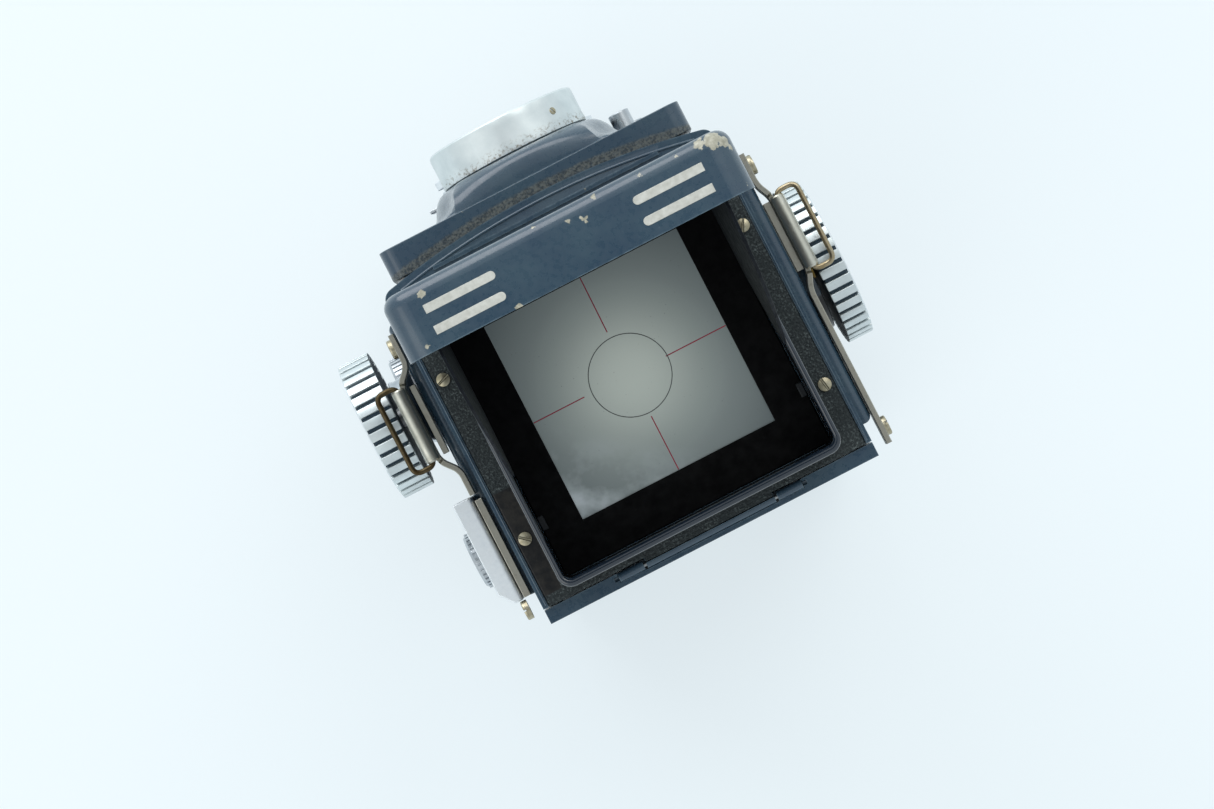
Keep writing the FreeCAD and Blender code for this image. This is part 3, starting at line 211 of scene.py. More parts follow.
def lid_wear(tree, place, base, rough):
    """The lid's own chips: one broad worn corner on the winding side, and small ones along the lip."""
    worn = near(tree, place, (-31.2, -29.9, 176.0), 1.8, 0.9, 2.6)
    for spot, radius, ragged in (((-33.0, -28.4, 175.6), 1.4, 0.6), ((-28.8, -30.4, 176.2), 1.3, 0.7),
                                 ((-33.9, -26.9, 175.2), 0.9, 0.5),
                                 ((-33.9, -25.2, 176.2), 0.7, 0.7), ((-33.8, -19.8, 176.3), 1.3, 0.9),
                                 ((-8.0, -30.4, 176.2), 0.7, 0.6), ((-17.0, -30.2, 176.4), 0.5, 0.5),
                                 ((26.8, -28.8, 176.6), 0.75, 0.6), ((12.5, -18.9, 176.6), 0.6, 0.5),
                                 ((33.9, -19.3, 176.4), 0.8, 0.6), ((-2.0, -28.2, 176.6), 0.4, 0.5),
                                 ((30.0, -20.0, 176.6), 0.45, 0.5), ((-24.0, -30.2, 176.4), 0.5, 0.5),
                                 ((4.0, -30.6, 176.1), 0.45, 0.6), ((-4.5, -27.4, 176.6), 0.55, 0.9)):
        worn = calc(tree, "MAXIMUM", worn, near(tree, place, spot, radius, ragged, 1.0))
    tone = mix(tree, ramp(tree, noise(tree, place, 0.8, 4.0), 0.35, 0.65), "#8f8c7b", "#b7b4a4")
    return mix(tree, worn, base, tone), calc(tree, "MAXIMUM", rough, times(tree, worn, 0.6))


def board_grime(tree, place, base, rough):
    """Grey-brown dirt on the lens board's skirt, in a band that follows the nose's curve."""
    axes = parts_of(tree, place)
    bend = times(tree, times(tree, axes["X"], axes["X"]), -3.1)
    behind = calc(tree, "ADD", axes["Y"], bend)
    edge = calc(tree, "ADD", behind, times(tree, noise(tree, place, 1.5, 4.0), 0.8 * MM))
    grain = ramp(tree, noise(tree, place, 0.5, 5.0, 0.7), 0.3, 0.55, 0.45, 1.0)
    dirty = times(tree, ramp(tree, edge, -41.5 * MM, -40.9 * MM), grain)
    tone = mix(tree, ramp(tree, noise(tree, place, 0.4, 4.0), 0.4, 0.6), "#1f282d", "#5c605c")
    return mix(tree, dirty, base, tone), calc(tree, "MAXIMUM", rough, times(tree, dirty, 0.75))


ENAMEL = make_enamel("stoved_enamel_blue_grey")
LID_ENAMEL = make_enamel("lid_enamel_blue_grey", chips=0.69, edge_strength=0.6, extra=lid_wear)
BOARD_ENAMEL = make_enamel("board_enamel_blue_grey", chips=0.72, extra=board_grime)

# %% [markdown]
# Crackle paint.  The hood's flange carries a wrinkle-finish black paint: fine hard grains about a
# third of a millimetre across, with grey dust caught between them.

# %% Crackle, black paints and leatherette
def make_crackle():
    material, tree, shader, place = start_material("black_wrinkle_paint", "#161c1e", 0.0, 0.6,
                                                   Specular_IOR_Level=0.35)
    axes = parts_of(tree, place)
    smooth_patch = times(tree, inside(tree, axes["X"], 30.6, 40.0), inside(tree, axes["Y"], 8.8, 31.0))
    grains = add(tree, "ShaderNodeTexVoronoi", {"Vector": place, "Scale": 1 / (0.42 * MM)})
    soft = noise(tree, place, 0.5, 4.0, 0.7)
    height = calc(tree, "ADD", times(tree, grains.outputs["Distance"], -0.6), soft)
    height = times(tree, height, calc(tree, "SUBTRACT", 1.0, times(tree, smooth_patch, 0.92)))
    dusty = ramp(tree, noise(tree, place, 3.5), 0.35, 0.7, 0.15, 0.75)
    specks = times(tree, ramp(tree, soft, 0.5, 0.66), dusty)
    base = mix(tree, specks, "#1c2426", "#737d7c")
    smooth_tone = mix(tree, ramp(tree, noise(tree, place, 2.0, 4.0), 0.4, 0.65), "#0d0e10", "#262421")
    base = mix(tree, smooth_patch, base, smooth_tone)
    feed(tree, shader, base, ramp(tree, smooth_patch, 0.0, 1.0, 0.62, 0.33))
    bump(tree, shader, height, 0.22, 0.9)
    return material


def make_black(name, hex_colour, roughness, coat=0.0, gleam=0.5, rubbed_hex="#94a0ab", dust_top=0.22,
               scuffs=()):
    """Black paint on sheet metal, with faint dust."""
    material, tree, shader, place = start_material(name, hex_colour, 0.0, roughness, Coat_Weight=coat,
                                                   Specular_IOR_Level=gleam)
    dust = ramp(tree, noise(tree, place, 0.6, 4.0), 0.6, 0.8, 0.0, dust_top)
    base = mix(tree, dust, hex_colour, "#4a5056")
    rubbed = times(tree, worn_edge(tree, 0.3), ramp(tree, noise(tree, place, 3.0), 0.35, 0.7))
    base = mix(tree, times(tree, rubbed, 0.6), base, rubbed_hex)
    for spot, radius in scuffs:
        base = mix(tree, near(tree, place, spot, radius, 0.9, 0.9), base, "#c4cbd0")
    feed(tree, shader, base, ramp(tree, noise(tree, place, 2.0), 0.3, 0.7, roughness * 0.8, roughness * 1.25))
    bump(tree, shader, noise(tree, place, 2.5), 0.03, 0.4)
    return material


def make_leatherette():
    material, tree, shader, place = start_material("pebbled_leatherette", "#15181b", 0.0, 0.5)
    pebbles = add(tree, "ShaderNodeTexVoronoi", {"Vector": place, "Scale": 1 / (0.9 * MM), "Randomness": 0.9},
                  feature="SMOOTH_F1").outputs["Distance"]
    base = mix(tree, ramp(tree, pebbles, 0.2, 0.7), "#272d33", "#0e1012")
    tree.links.new(base, shader.inputs["Base Color"])
    bump(tree, shader, times(tree, pebbles, -1.0), 0.25, 0.8)
    return material


def make_covered(name, out_axis, face_mm, across_axis, across_mm, up_mm):
    """Enamel all round, with a leatherette panel let into the outer face."""
    def panel(tree, place, base, rough):
        axes = parts_of(tree, place)
        outward = ramp(tree, calc(tree, "ABSOLUTE", axes[out_axis]), (face_mm - 0.1) * MM, face_mm * MM)
        mask = times(tree, outward, inside(tree, axes[across_axis], *across_mm))
        mask = times(tree, mask, inside(tree, axes["Z"], *up_mm))
        pebbles = add(tree, "ShaderNodeTexVoronoi", {"Vector": place, "Scale": 1 / (0.9 * MM)},
                      feature="SMOOTH_F1").outputs["Distance"]
        grain = mix(tree, ramp(tree, pebbles, 0.2, 0.7), "#20252a", "#0c0e10")
        return mix(tree, mask, base, grain), calc(tree, "MAXIMUM", rough, times(tree, mask, 0.55))
    return make_enamel(name, extra=panel)


CRACKLE = make_crackle()
BLACK = make_black("semi_gloss_black_paint", "#0a0d12", 0.3, gleam=0.3, rubbed_hex="#56646f", dust_top=0.12)
MATT_BLACK = make_black("flat_black_paint", "#050506", 0.7, gleam=0.12, rubbed_hex="#16181b", dust_top=0.08)
RIM_ENAMEL = make_black("rim_black_enamel", "#16212d", 0.18, 0.7, rubbed_hex="#768c9a", dust_top=0.12,
                        scuffs=(((-28.9, 22.0, 110.5), 0.5), ((-28.9, 24.6, 109.6), 0.7),
                                ((-28.9, 26.4, 111.0), 0.4)))
KNOB_BLACK = make_black("knob_gap_blue_black", "#2c3d49", 0.5, gleam=0.3, rubbed_hex="#3c4e5b")
TAB_GREY = make_black("well_tab_grey", "#1c1f23", 0.45, gleam=0.3, rubbed_hex="#3a3f45")
HOOD_BLACK = make_black("hood_flat_black", "#0a0e14", 0.55, gleam=0.12, rubbed_hex="#566570", dust_top=0.08)
LEATHERETTE = make_leatherette()
COVERED_SIDE = make_covered("side_panel_finish", "X", 37.9, "Y", (-27.5, 27.2), (5.0, 95.5))
COVERED_BACK = make_covered("back_panel_finish", "Y", 36.2, "X", (-33.0, 33.0), (11.0, 98.0))


# %% [markdown]
# Metals.  Satin chrome on the lens rings, brushed aluminium on the knobs and shoe, and dull nickel
# on the strap hardware.  Fingers leave them cloudy, and brown dirt settles where they meet the paint.

# %% Metals
def make_metal(name, hex_colour, other_hex, roughness, grime_hex="#5f5443", grime=0.25, patch_mm=2.5,
               lines_mm=None):
    material, tree, shader, place = start_material(name, hex_colour, 1.0, roughness)
    cloud = noise(tree, place, patch_mm, 4.0)
    base = mix(tree, ramp(tree, cloud, 0.3, 0.7), hex_colour, other_hex)
    dirty = ramp(tree, noise(tree, place, 1.1, 5.0, 0.65), 0.58, 0.75, 0.0, grime)
    base = mix(tree, dirty, base, grime_hex)
    feed(tree, shader, base, ramp(tree, cloud, 0.25, 0.75, roughness * 0.75, roughness * 1.3))
    if lines_mm:
        stretched = add(tree, "ShaderNodeMapping", {"Vector": place, "Scale": lines_mm}).outputs["Vector"]
        brushed = noise(tree, stretched, 0.5, 2.0)
        bump(tree, shader, brushed, 0.02, 0.35)
    else:
        bump(tree, shader, noise(tree, place, 0.6, 3.0), 0.015, 0.4)
    return material


CHROME = make_metal("satin_chrome", "#c9cdd0", "#b4babf", 0.3, grime=0.2)
POLISHED = make_metal("polished_chrome", "#c3c8cc", "#a9b0b6", 0.14, grime=0.15)
KNOB_SILVER = make_metal("satin_silver_bars", "#dde5e6", "#cfd6d7", 0.42, grime=0.15, patch_mm=5.0)
ALUMINIUM = make_metal("anodised_aluminium", "#f0f4f6", "#dde2e6", 0.5, grime=0.12, lines_mm=(1, 0.08, 1))
NICKEL = make_metal("dull_nickel", "#b5b2a6", "#9a968a", 0.36, grime=0.4)
BARREL_NICKEL = make_metal("satin_nickel", "#d0cfc4", "#b9b8ac", 0.38, grime=0.2)
RUSTY_WIRE = make_metal("rusted_wire", "#5f543f", "#4b3e29", 0.45, "#3c2a15", 0.8, 1.2)
TAN_WIRE = make_metal("tarnished_wire", "#b3a88f", "#9b8a6a", 0.35, "#6b5232", 0.55, 1.4)
STEEL = make_metal("bright_steel", "#a9abac", "#8f9192", 0.3)
BRASS = make_metal("machined_brass", "#c9aa62", "#ab8d4c", 0.28)
SCREW_METAL = make_metal("nickelled_brass", "#b9b29c", "#a39a80", 0.34, "#5d4a2c", 0.6, 0.7)


# %% [markdown]
# Pale satin chrome for the lens rings.  The same metal, with brown dirt gathered along the rear edge
# where the ring meets the cover.

# %% Ring chrome and small paints
def make_ring_chrome():
    material, tree, shader, place = start_material("pale_satin_chrome", "#dce1e1", 1.0, 0.5)
    cloud = noise(tree, place, 4.0, 4.0)
    base = mix(tree, ramp(tree, cloud, 0.3, 0.7), "#e2e8e8", "#d3dbdc")
    along = parts_of(tree, place)["Y"]
    rear = ramp(tree, calc(tree, "ADD", along, times(tree, noise(tree, place, 1.8, 5.0, 0.7), 2.2 * MM)),
                -50.9 * MM, -49.3 * MM)
    dirty = times(tree, rear, ramp(tree, noise(tree, place, 0.7, 5.0, 0.7), 0.5, 0.66))
    base = mix(tree, times(tree, dirty, 0.8), base, "#6a5633")
    feed(tree, shader, base, ramp(tree, cloud, 0.25, 0.75, 0.44, 0.56))
    bump(tree, shader, noise(tree, place, 0.5, 3.0), 0.012, 0.35)
    return material


def make_paint(name, hex_colour, other_hex, roughness):
    """A plain paint with a cloudy tone."""
    material, tree, shader, place = start_material(name, hex_colour, 0.0, roughness)
    tree.links.new(mix(tree, ramp(tree, noise(tree, place, 1.0, 4.0), 0.35, 0.7), hex_colour, other_hex),
                   shader.inputs["Base Color"])
    bump(tree, shader, noise(tree, place, 0.5), 0.01, 0.3)
    return material


CHROME_RING = make_ring_chrome()
IVORY = make_paint("ivory_inlay", "#c9c9c2", "#b3b3ab", 0.45)
RED_LINE = make_paint("red_hairline", "#b3203f", "#8e2a44", 0.5)
ETCHED_LINE = make_paint("etched_line", "#34383a", "#565a5c", 0.6)

# %% [markdown]
# Glass.  The lens elements are clear with a faint blue coating.  The focusing screen is ground on one
# side, so it scatters the light that the mirror throws up at it.  That light is painted into its colour:
# a painted bright middle, painted grey shade outwards and painted darker corners.  The glass glows
# with the same colour.  Dust lies on top, and a milky haze in the rear corner.

# %% Glass
def make_lens_glass():
    material, tree, shader, place = start_material("coated_lens_glass", "#dfe6ff", 0.0, 0.02,
                                                   Transmission_Weight=1.0, IOR=1.52, Coat_Weight=0.6,
                                                   Coat_IOR=1.8)
    shader.inputs["Coat Tint"].default_value = linear("#8f9be0")
    tint = ramp(tree, noise(tree, place, 6.0), 0.4, 0.6)
    tree.links.new(mix(tree, tint, "#e6ebff", "#d6dffa"), shader.inputs["Base Color"])
    return material


def make_screen_glass_painted_light():
    # The emission strength makes the screen glow with its own colour. This is a painted stand-in for the
    # light coming up through it.
    material, tree, shader, place = start_material("ground_glass", "#9ba29c", 0.0, 0.45,
                                                   Emission_Strength=0.42)
    axes = parts_of(tree, place)
    across, along = axes["X"], axes["Y"]
    distance = calc(tree, "SQRT", calc(tree, "ADD", times(tree, across, across), times(tree, along, along)))
    # Painted light: the image thrown up by the mirror, bright in the middle and greyer outwards.
    painted_glow = ramp(tree, distance, 0.001, 0.021)
    painted_glow.node.interpolation_type = "SMOOTHSTEP"
    base = mix(tree, painted_glow, "#a9b1aa", "#737c7b")
    # Painted shade: the corners darker still.
    corner = ramp(tree, distance, 0.018, 0.030)
    base = mix(tree, corner, base, "#545d5f")
    haze_at = calc(tree, "ADD", times(tree, across, 0.6), times(tree, along, 0.8))
    haze = times(tree, ramp(tree, haze_at, 0.012, 0.026), ramp(tree, noise(tree, place, 7.0, 4.0), 0.4, 0.7))
    base = mix(tree, times(tree, haze, 0.8), base, "#a9b2b6")
    specks = ramp(tree, noise(tree, place, 0.45, 2.0, 0.4), 0.72, 0.76)
    specks = times(tree, specks, ramp(tree, noise(tree, place, 6.0), 0.45, 0.6))
    base = mix(tree, times(tree, specks, 0.55), base, "#3f4243")
    feed(tree, shader, base, ramp(tree, noise(tree, place, 5.0), 0.3, 0.7, 0.38, 0.55))
    # The colour, painted light and shade included, also feeds the emission, so the glass glows though it is
    # no lamp.
    tree.links.new(base, shader.inputs["Emission Color"])
    return material


LENS_GLASS = make_lens_glass()
SCREEN_GLASS_PAINTED_GLOW = make_screen_glass_painted_light()
MIRROR = make_metal("front_silvered_mirror", "#dfe2e4", "#d6dadd", 0.05, grime=0.05)

MATERIAL_OF_SLOT = {
    "blue_enamel": ENAMEL, "black_crackle": CRACKLE, "black_paint": BLACK, "matt_black": MATT_BLACK,
    "leatherette": LEATHERETTE, "chrome": CHROME, "aluminium": ALUMINIUM, "nickel": NICKEL, "steel": STEEL,
    "brass": BRASS, "optical_glass": LENS_GLASS, "screen_glass": SCREEN_GLASS_PAINTED_GLOW, "mirror_silver": MIRROR,
}
for node, item in frame["nodes"].items():
    item.data.materials.clear()
    item.data.materials.append(MATERIAL_OF_SLOT[SLOT_OF[node]])
print("every part has a finish")


# %% [markdown]
# Helpers for shapes.  A finished piece rides with the body of the part it stands for, and a rounded copy
# keeps that part's finish unless it is given another.  Sheet and cast parts are copies of the frame's own
# mesh, cleaned and given small rounded edges, because no real edge is knife sharp and the highlights along
# the edges are what make a part read as metal.

# %% Helpers for pieces
def mesh_of(name, bm):
    mesh = bpy.data.meshes.new(name)
    bm.to_mesh(mesh)
    bm.free()
    return mesh


def linked(name, data):
    """An object in the scene's own collection."""
    item = bpy.data.objects.new(name, data)
    bpy.context.scene.collection.objects.link(item)
    return item


def applied(item):
    """An object's mesh with its modifiers applied."""
    return bpy.data.meshes.new_from_object(item.evaluated_get(bpy.context.evaluated_depsgraph_get()))


def new_piece(name, bm, material, node=None, body=None, replace=True, smooth=30):
    """Turn a bmesh into a finished piece that rides with its part's body."""
    return settle(bpy.data.objects.new(name, mesh_of(name, bm)), material, node, body, replace, smooth)


def loft(bm, rings, closed=False):
    """Join rings of vertices that all have the same count with four-sided faces."""
    for ring, following in zip(rings, rings[1:] + rings[:1] if closed else rings[1:]):
        for number in range(len(ring)):
            after = (number + 1) % len(ring)
            bm.faces.new((ring[number], ring[after], following[after], following[number]))


def prism(bm, outline, low, high):
    """A solid between two heights over an outline of (x, y) points, all in millimetres."""
    below, above = ([bm.verts.new(Vector((x, y, z)) * MM) for x, y in outline] for z in (low, high))
    bm.faces.new(below[::-1])
    bm.faces.new(above)
    loft(bm, [below, above])


def bevel(piece, edge_mm, segments):
    """Round a piece's edges with a modifier."""
    rounding = piece.modifiers.new("rounding", "BEVEL")
    rounding.width = edge_mm * MM
    rounding.segments = segments
    rounding.angle_limit = math.radians(40)
    return rounding


def settle(piece, material, node=None, body=None, replace=True, smooth=30):
    """Link a piece, shade it, hang it on its body, and hide the part it stands for when it replaces it."""
    if piece.name not in bpy.context.scene.collection.objects:
        bpy.context.scene.collection.objects.link(piece)
    piece.data.materials.clear()
    piece.data.materials.append(material)
    for face in piece.data.polygons:
        face.use_smooth = True
    piece.data.set_sharp_from_angle(angle=math.radians(smooth))
    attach(piece, body or BODY_OF[node])
    if node:
        if replace:
            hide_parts(node)
    return piece


def soften(node, edge_mm, material=None, segments=3):
    """A part's own shape with its edges rounded."""
    bm = bmesh.new()
    bm.from_mesh(frame["nodes"][node].data)
    bmesh.ops.remove_doubles(bm, verts=bm.verts, dist=0.002 * MM)
    bmesh.ops.dissolve_limit(bm, angle_limit=math.radians(1.5), verts=bm.verts, edges=bm.edges)
    piece = new_piece(node + "_body", bm, material or MATERIAL_OF_SLOT[SLOT_OF[node]], node)
    bevel(piece, edge_mm, segments).harden_normals = True
    return piece


def lathe(profile, origin, axis, name, material, node, segments=96, wave=None, replace=True, body=None):
    """Turn a profile of (radius, distance) round an axis that starts at origin, in millimetres.
    wave(angle, radius, distance) may change the radius, for flutes."""
    axis = Vector(axis).normalized()
    side = axis.orthogonal().normalized()
    other = axis.cross(side)
    bm = bmesh.new()
    rings = []
    for radius, distance in profile:
        ring = []
        for step in range(segments if radius > 1e-6 else 1):
            angle = 2 * math.pi * step / segments
            reach = wave(angle, radius, distance) if wave else radius
            outward = side * math.cos(angle) + other * math.sin(angle)
            ring.append(bm.verts.new((Vector(origin) + axis * distance + outward * reach) * MM))
        rings.append(ring)
    for ring, following in zip(rings, rings[1:]):
        for step in range(segments):
            corners = [ring[step % len(ring)], ring[(step + 1) % len(ring)],
                       following[(step + 1) % len(following)], following[step % len(following)]]
            unique = list(dict.fromkeys(corners))
            if len(unique) > 2:
                bm.faces.new(unique)
    bmesh.ops.remove_doubles(bm, verts=bm.verts, dist=0.001 * MM)
    bmesh.ops.recalc_face_normals(bm, faces=bm.faces)
    return new_piece(name, bm, material, node, body, replace, 35)


def tube_along(points, radius, name, material, node, closed=False, body=None):
    """A round wire through points in millimetres."""
    curve = bpy.data.curves.new(name, "CURVE")
    curve.dimensions = "3D"
    line = curve.splines.new("POLY")
    line.points.add(len(points) - 1)
    for number, point in enumerate(points):
        line.points[number].co = (*(Vector(point) * MM), 1.0)
    line.use_cyclic_u = closed
    curve.bevel_depth = radius * MM
    curve.bevel_resolution = 4
    curve.use_fill_caps = True
    holder = linked(name + "_path", curve)
    mesh = applied(holder)
    bpy.data.objects.remove(holder)
    return settle(bpy.data.objects.new(name, mesh), material, node, body, smooth=50)


# %% [markdown]
# Castings, covers and pressings keep their exact shape and get rounded edges.  The lid is also let
# down by a hair, so that the pale bars inlaid in its lip can stand flush with the real outline.

# %% Rounded parts
EDGES = {
    "body_shell": 0.45, "left_cover": 0.2, "right_cover": 0.2, "base_plate": 0.5, "back_door": 0.6,
    "lens_board": 0.7, "accessory_shoe": 0.22, "bracket_plates": 0.15, "hood_lid": 0.25,
    "hood_liner": 0.08, "hood_wing_left": 0.14, "hood_wing_right": 0.14, "magnifier_frame": 0.1,
    "sync_socket": 0.25, "shutter_button": 0.3, "shutter_lever": 0.2, "speed_ring": 0.25,
    "aperture_ring": 0.25, "door_latch": 0.15, "screen_frame": 0.12,
}
FINISH_OF = {"left_cover": COVERED_SIDE, "right_cover": COVERED_SIDE, "back_door": COVERED_BACK,
             "lens_board": BOARD_ENAMEL, "hood_lid": LID_ENAMEL, "hood_wing_left": HOOD_BLACK,
             "hood_wing_right": HOOD_BLACK, "hood_liner": HOOD_BLACK}
for node, width in EDGES.items():
    piece = soften(node, width, FINISH_OF.get(node))
    if node == "hood_lid":
        for vertex in piece.data.vertices:
            if vertex.co.z > (LID_TOP - 1.0) * MM:
                vertex.co.z -= INLAY * MM
print(len(EDGES), "parts with rounded edges")

# %% [markdown]
# The pale bars on the lid's lip: two pairs, cast into the enamel and rubbed flat.  Each bar is a
# flat strip with one round end.

# %% Bars on the lid
def slab(name, outline, low, high, material, node=None, body=None, replace=False, edge_mm=0.1):
    """A flat piece: an outline of (x, y) points in millimetres between two heights."""
    bm = bmesh.new()
    prism(bm, outline, low, high)
    bmesh.ops.recalc_face_normals(bm, faces=bm.faces)
    piece = new_piece(name, bm, material, node, body, replace)
    bevel(piece, edge_mm, 2)
    return piece


def bar_outline(square_end, round_end, y, width):
    """A bar from its square end to its round end."""
    half = width / 2
    sign = 1 if round_end > square_end else -1
    points = [(square_end, y - half), (square_end, y + half)]
    for step in range(9):
        angle = math.radians(90 - 22.5 * step)
        points.append((round_end - sign * half + sign * half * math.cos(angle), y + half * math.sin(angle)))
    return points


for side, (inner_x, outer_x) in {"left": (13.6, 27.5), "right": (-13.7, -27.5)}.items():
    for row, bar_y in (("front", -26.1), ("rear", -22.0)):
        outline = bar_outline(outer_x, inner_x, bar_y, 1.65)
        slab(f"lid_bar_{side}_{row}", outline, LID_TOP - 0.5, LID_TOP - 0.004, IVORY, body="lid",
             edge_mm=0.05)
print("four inlaid bars")

# %% [markdown]
# The hood's rim is a deep-drawn frame with a rolled top edge.  A flat flange with a wrinkle finish
# holds it to the deck.  The frame is a profile swept round a rectangle with round corners, and its
# top is lower at the front, where the lid's hinge sits.

# %% Rim and flange
def rounded_rectangle(across, along, corner, steps=8):
    """Points and outward directions round a rectangle, anticlockwise from above."""
    course = []
    for turn, (x, y) in enumerate(((across[1], along[0]), (across[1], along[1]),
                                   (across[0], along[1]), (across[0], along[0]))):
        start = -90 + 90 * turn
        toward = (-1 if x > across[0] else 1, -1 if y > along[0] else 1)
        centre = (x + toward[0] * corner, y + toward[1] * corner)
        for step in range(steps + 1):
            angle = math.radians(start + 90 * step / steps)
            way = (math.cos(angle), math.sin(angle))
            course.append(((centre[0] + corner * way[0], centre[1] + corner * way[1]), way))
    return course


def split_long_runs(course, longest):
    """Add points along straight runs, so that a swept edge can wander a little."""
    finer = []
    for (point, way), (following, _) in zip(course, course[1:] + course[:1]):
        finer.append((point, way))
        pieces = int(math.dist(point, following) // longest)
        for step in range(1, pieces):
            share = step / pieces
            middle = tuple(a + (b - a) * share for a, b in zip(point, following))
            finer.append((middle, way))
    return finer


def sweep(name, course, section, material, node):
    """Sweep a closed section round a course; section(point, way) gives (outward, height) pairs."""
    bm = bmesh.new()
    rings = []
    for point, way in course:
        rings.append([bm.verts.new(Vector((point[0] + way[0] * out, point[1] + way[1] * out, z)) * MM)
                      for out, z in section(point, way)])
    loft(bm, rings, closed=True)
    bmesh.ops.recalc_face_normals(bm, faces=bm.faces)
    return new_piece(name, bm, material, node, smooth=50)


RIM_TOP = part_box("hood_base")[1].z / MM
WELL = {"across": (-29.05, 29.05), "along": (-29.9, 29.7)}


def rim_section(point, way):
    """The wall's section: thicker at the back, lower at the front, with a slightly wavy rolled top."""
    thick = 1.2 + (0.5 * way[1] if way[1] > 0 else -0.2 * way[1])
    wander = 0.05 * math.sin(point[0] * 0.61) * math.sin(point[1] * 0.37 + 1.0)
    top = RIM_TOP - 0.06 + min(0.0, wander)
    if way[1] < -0.3:
        top = 113.2
    bead = [(0.0, top - 0.62), (0.10, top - 0.26), (0.34, top - 0.03), (0.62, top), (0.88, top - 0.14),
            (1.02, top - 0.45), (1.0, top - 0.9)]
    return ([(0.0, 104.4)] + [(share * thick, z) for share, z in bead] +
            [(thick, 105.7), (thick + 0.06, 105.3), (thick + 0.2, 105.06), (thick + 0.2, 104.4)])


course = split_long_runs(rounded_rectangle(WELL["across"], WELL["along"], 1.6), 1.5)
sweep("hood_rim", course, rim_section, RIM_ENAMEL, "hood_base")
flange = [(-34.5, -29.4), (-29.9, -29.4), (-29.9, 31.0), (29.9, 31.0), (29.9, -29.4), (34.5, -29.4),
          (34.5, 33.1), (-34.5, 33.1)]
slab("hood_flange", flange, FLANGE_TOP - 1.0, FLANGE_TOP, CRACKLE, "hood_base", replace=True, edge_mm=0.25)
pad = [(-13.8, 33.0), (13.8, 33.0), (13.8, 33.9), (-13.8, 33.9)]
slab("door_hinge_pad", pad, 104.5, 104.93, CRACKLE, body="chassis", edge_mm=0.1)
for side in (-1, 1):
    x = side * 35.05
    tube_along([(x, -29.0, 104.92), (x, 0, 104.92), (x, 32.6, 104.92)], 0.22, f"deck_bead_{side + 1}", ENAMEL,
               None, body="chassis")
    tab = [(side * 28.95, 16.6), (side * 28.95, 19.6), (side * 27.7, 19.6), (side * 27.7, 16.6)]
    slab(f"well_tab_{side + 1}", tab[::side], 102.0, 103.0, TAB_GREY, body="chassis", edge_mm=0.2)
print("rim, flange and deck beads")

# %% [markdown]
# The deck's nose has a raised lip along its curved front.  It follows the same arc as the casting,
# set back by its own width.

# %% Lip along the nose
NOSE_BEND = 158.0
NOSE_FRONT = 39.4


def nose_y(x, setback):
    radius = NOSE_BEND - setback
    return NOSE_BEND - NOSE_FRONT - math.sqrt(radius * radius - x * x)


nose_points = [(x, nose_y(x, 1.5), 104.93) for x in range(-32, 33, 2)]
tube_along(nose_points, 0.32, "nose_lip", ENAMEL, None, body="chassis")
print("nose lip of", len(nose_points), "points")

# %% [markdown]
# The cover over the two lenses is one spun and pressed sheet.  Its outline is a figure of eight, and
# its wall sweeps out to meet the board in a hollow curve.  Rings of that outline, each a little
# smaller and further out, make the skin; a boolean then opens the two holes for the barrels.

# %% Front cover
MIDDLE_Z = (VIEWING_Z + TAKING_Z) / 2
APART = (VIEWING_Z - TAKING_Z) / 2
BOARD_FACE = 43.5
COVER_TOP = 96.75
COVER_WALL = ((0.0, 23.2), (0.12, 22.5), (0.35, 21.7), (0.8, 20.9), (1.6, 20.2), (2.6, 19.7), (3.8, 19.1),
              (4.7, 18.4), (5.4, 17.6), (5.75, 16.8), (5.85, 16.0))


def cover_outline(angle, radius):
    """The figure of eight with its waist filled to a smooth neck."""
    up = abs(math.sin(angle))
    across = max(radius * radius - (APART * math.cos(angle)) ** 2, 0.0)
    to_drum = APART * up + math.sqrt(across)
    neck = (radius - 5.0) / max(abs(math.cos(angle)), 0.35)
    neck = min(neck, to_drum + 6)
    sharp = 9
    return (to_drum ** sharp + neck ** sharp) ** (1 / sharp) if to_drum < neck * 1.6 else to_drum


def below_top(height):
    """Ease a height under the board's top edge, without a crease."""
    keen = 1.1
    return COVER_TOP - math.log1p(math.exp(keen * (COVER_TOP - height))) / keen + 0.02


def make_front_cover():
    bm = bmesh.new()
    steps = 160
    rings = []
    for depth, radius in COVER_WALL:
        ring = []
        for step in range(steps):
            angle = 2 * math.pi * step / steps
            reach = cover_outline(angle, radius)
            height = below_top(MIDDLE_Z + reach * math.sin(angle))
            ring.append(bm.verts.new(Vector((reach * math.cos(angle), -BOARD_FACE - depth, height)) * MM))
        rings.append(ring)
    loft(bm, rings)
    bm.faces.new(rings[0])
    bm.faces.new(rings[-1])
    bmesh.ops.recalc_face_normals(bm, faces=bm.faces)
    return bm


def drill(piece, heights, radius):
    """Open round holes along Y through a piece."""
    for height in heights:
        bm = bmesh.new()
        bmesh.ops.create_cone(bm, cap_ends=True, segments=96, radius1=radius * MM, radius2=radius * MM,
                              depth=30 * MM)
        bmesh.ops.rotate(bm, verts=bm.verts, cent=(0, 0, 0), matrix=Matrix.Rotation(math.radians(90), 3, "X"))
        bmesh.ops.translate(bm, verts=bm.verts, vec=Vector((0, -46, height)) * MM)
        tool = linked("drill", mesh_of("drill", bm))
        hole = piece.modifiers.new("hole", "BOOLEAN")
        hole.object = tool
        hole.solver = "EXACT"
        drilled = applied(piece)
        piece.modifiers.remove(hole)
        piece.data = drilled
        bpy.data.objects.remove(tool)


cover = linked("front_cover_skin", mesh_of("front_cover_skin", make_front_cover()))
drill(cover, (VIEWING_Z, TAKING_Z), 14.24)
settle(cover, ENAMEL, "front_cover", smooth=38)
print("front cover with", len(cover.data.vertices), "points")

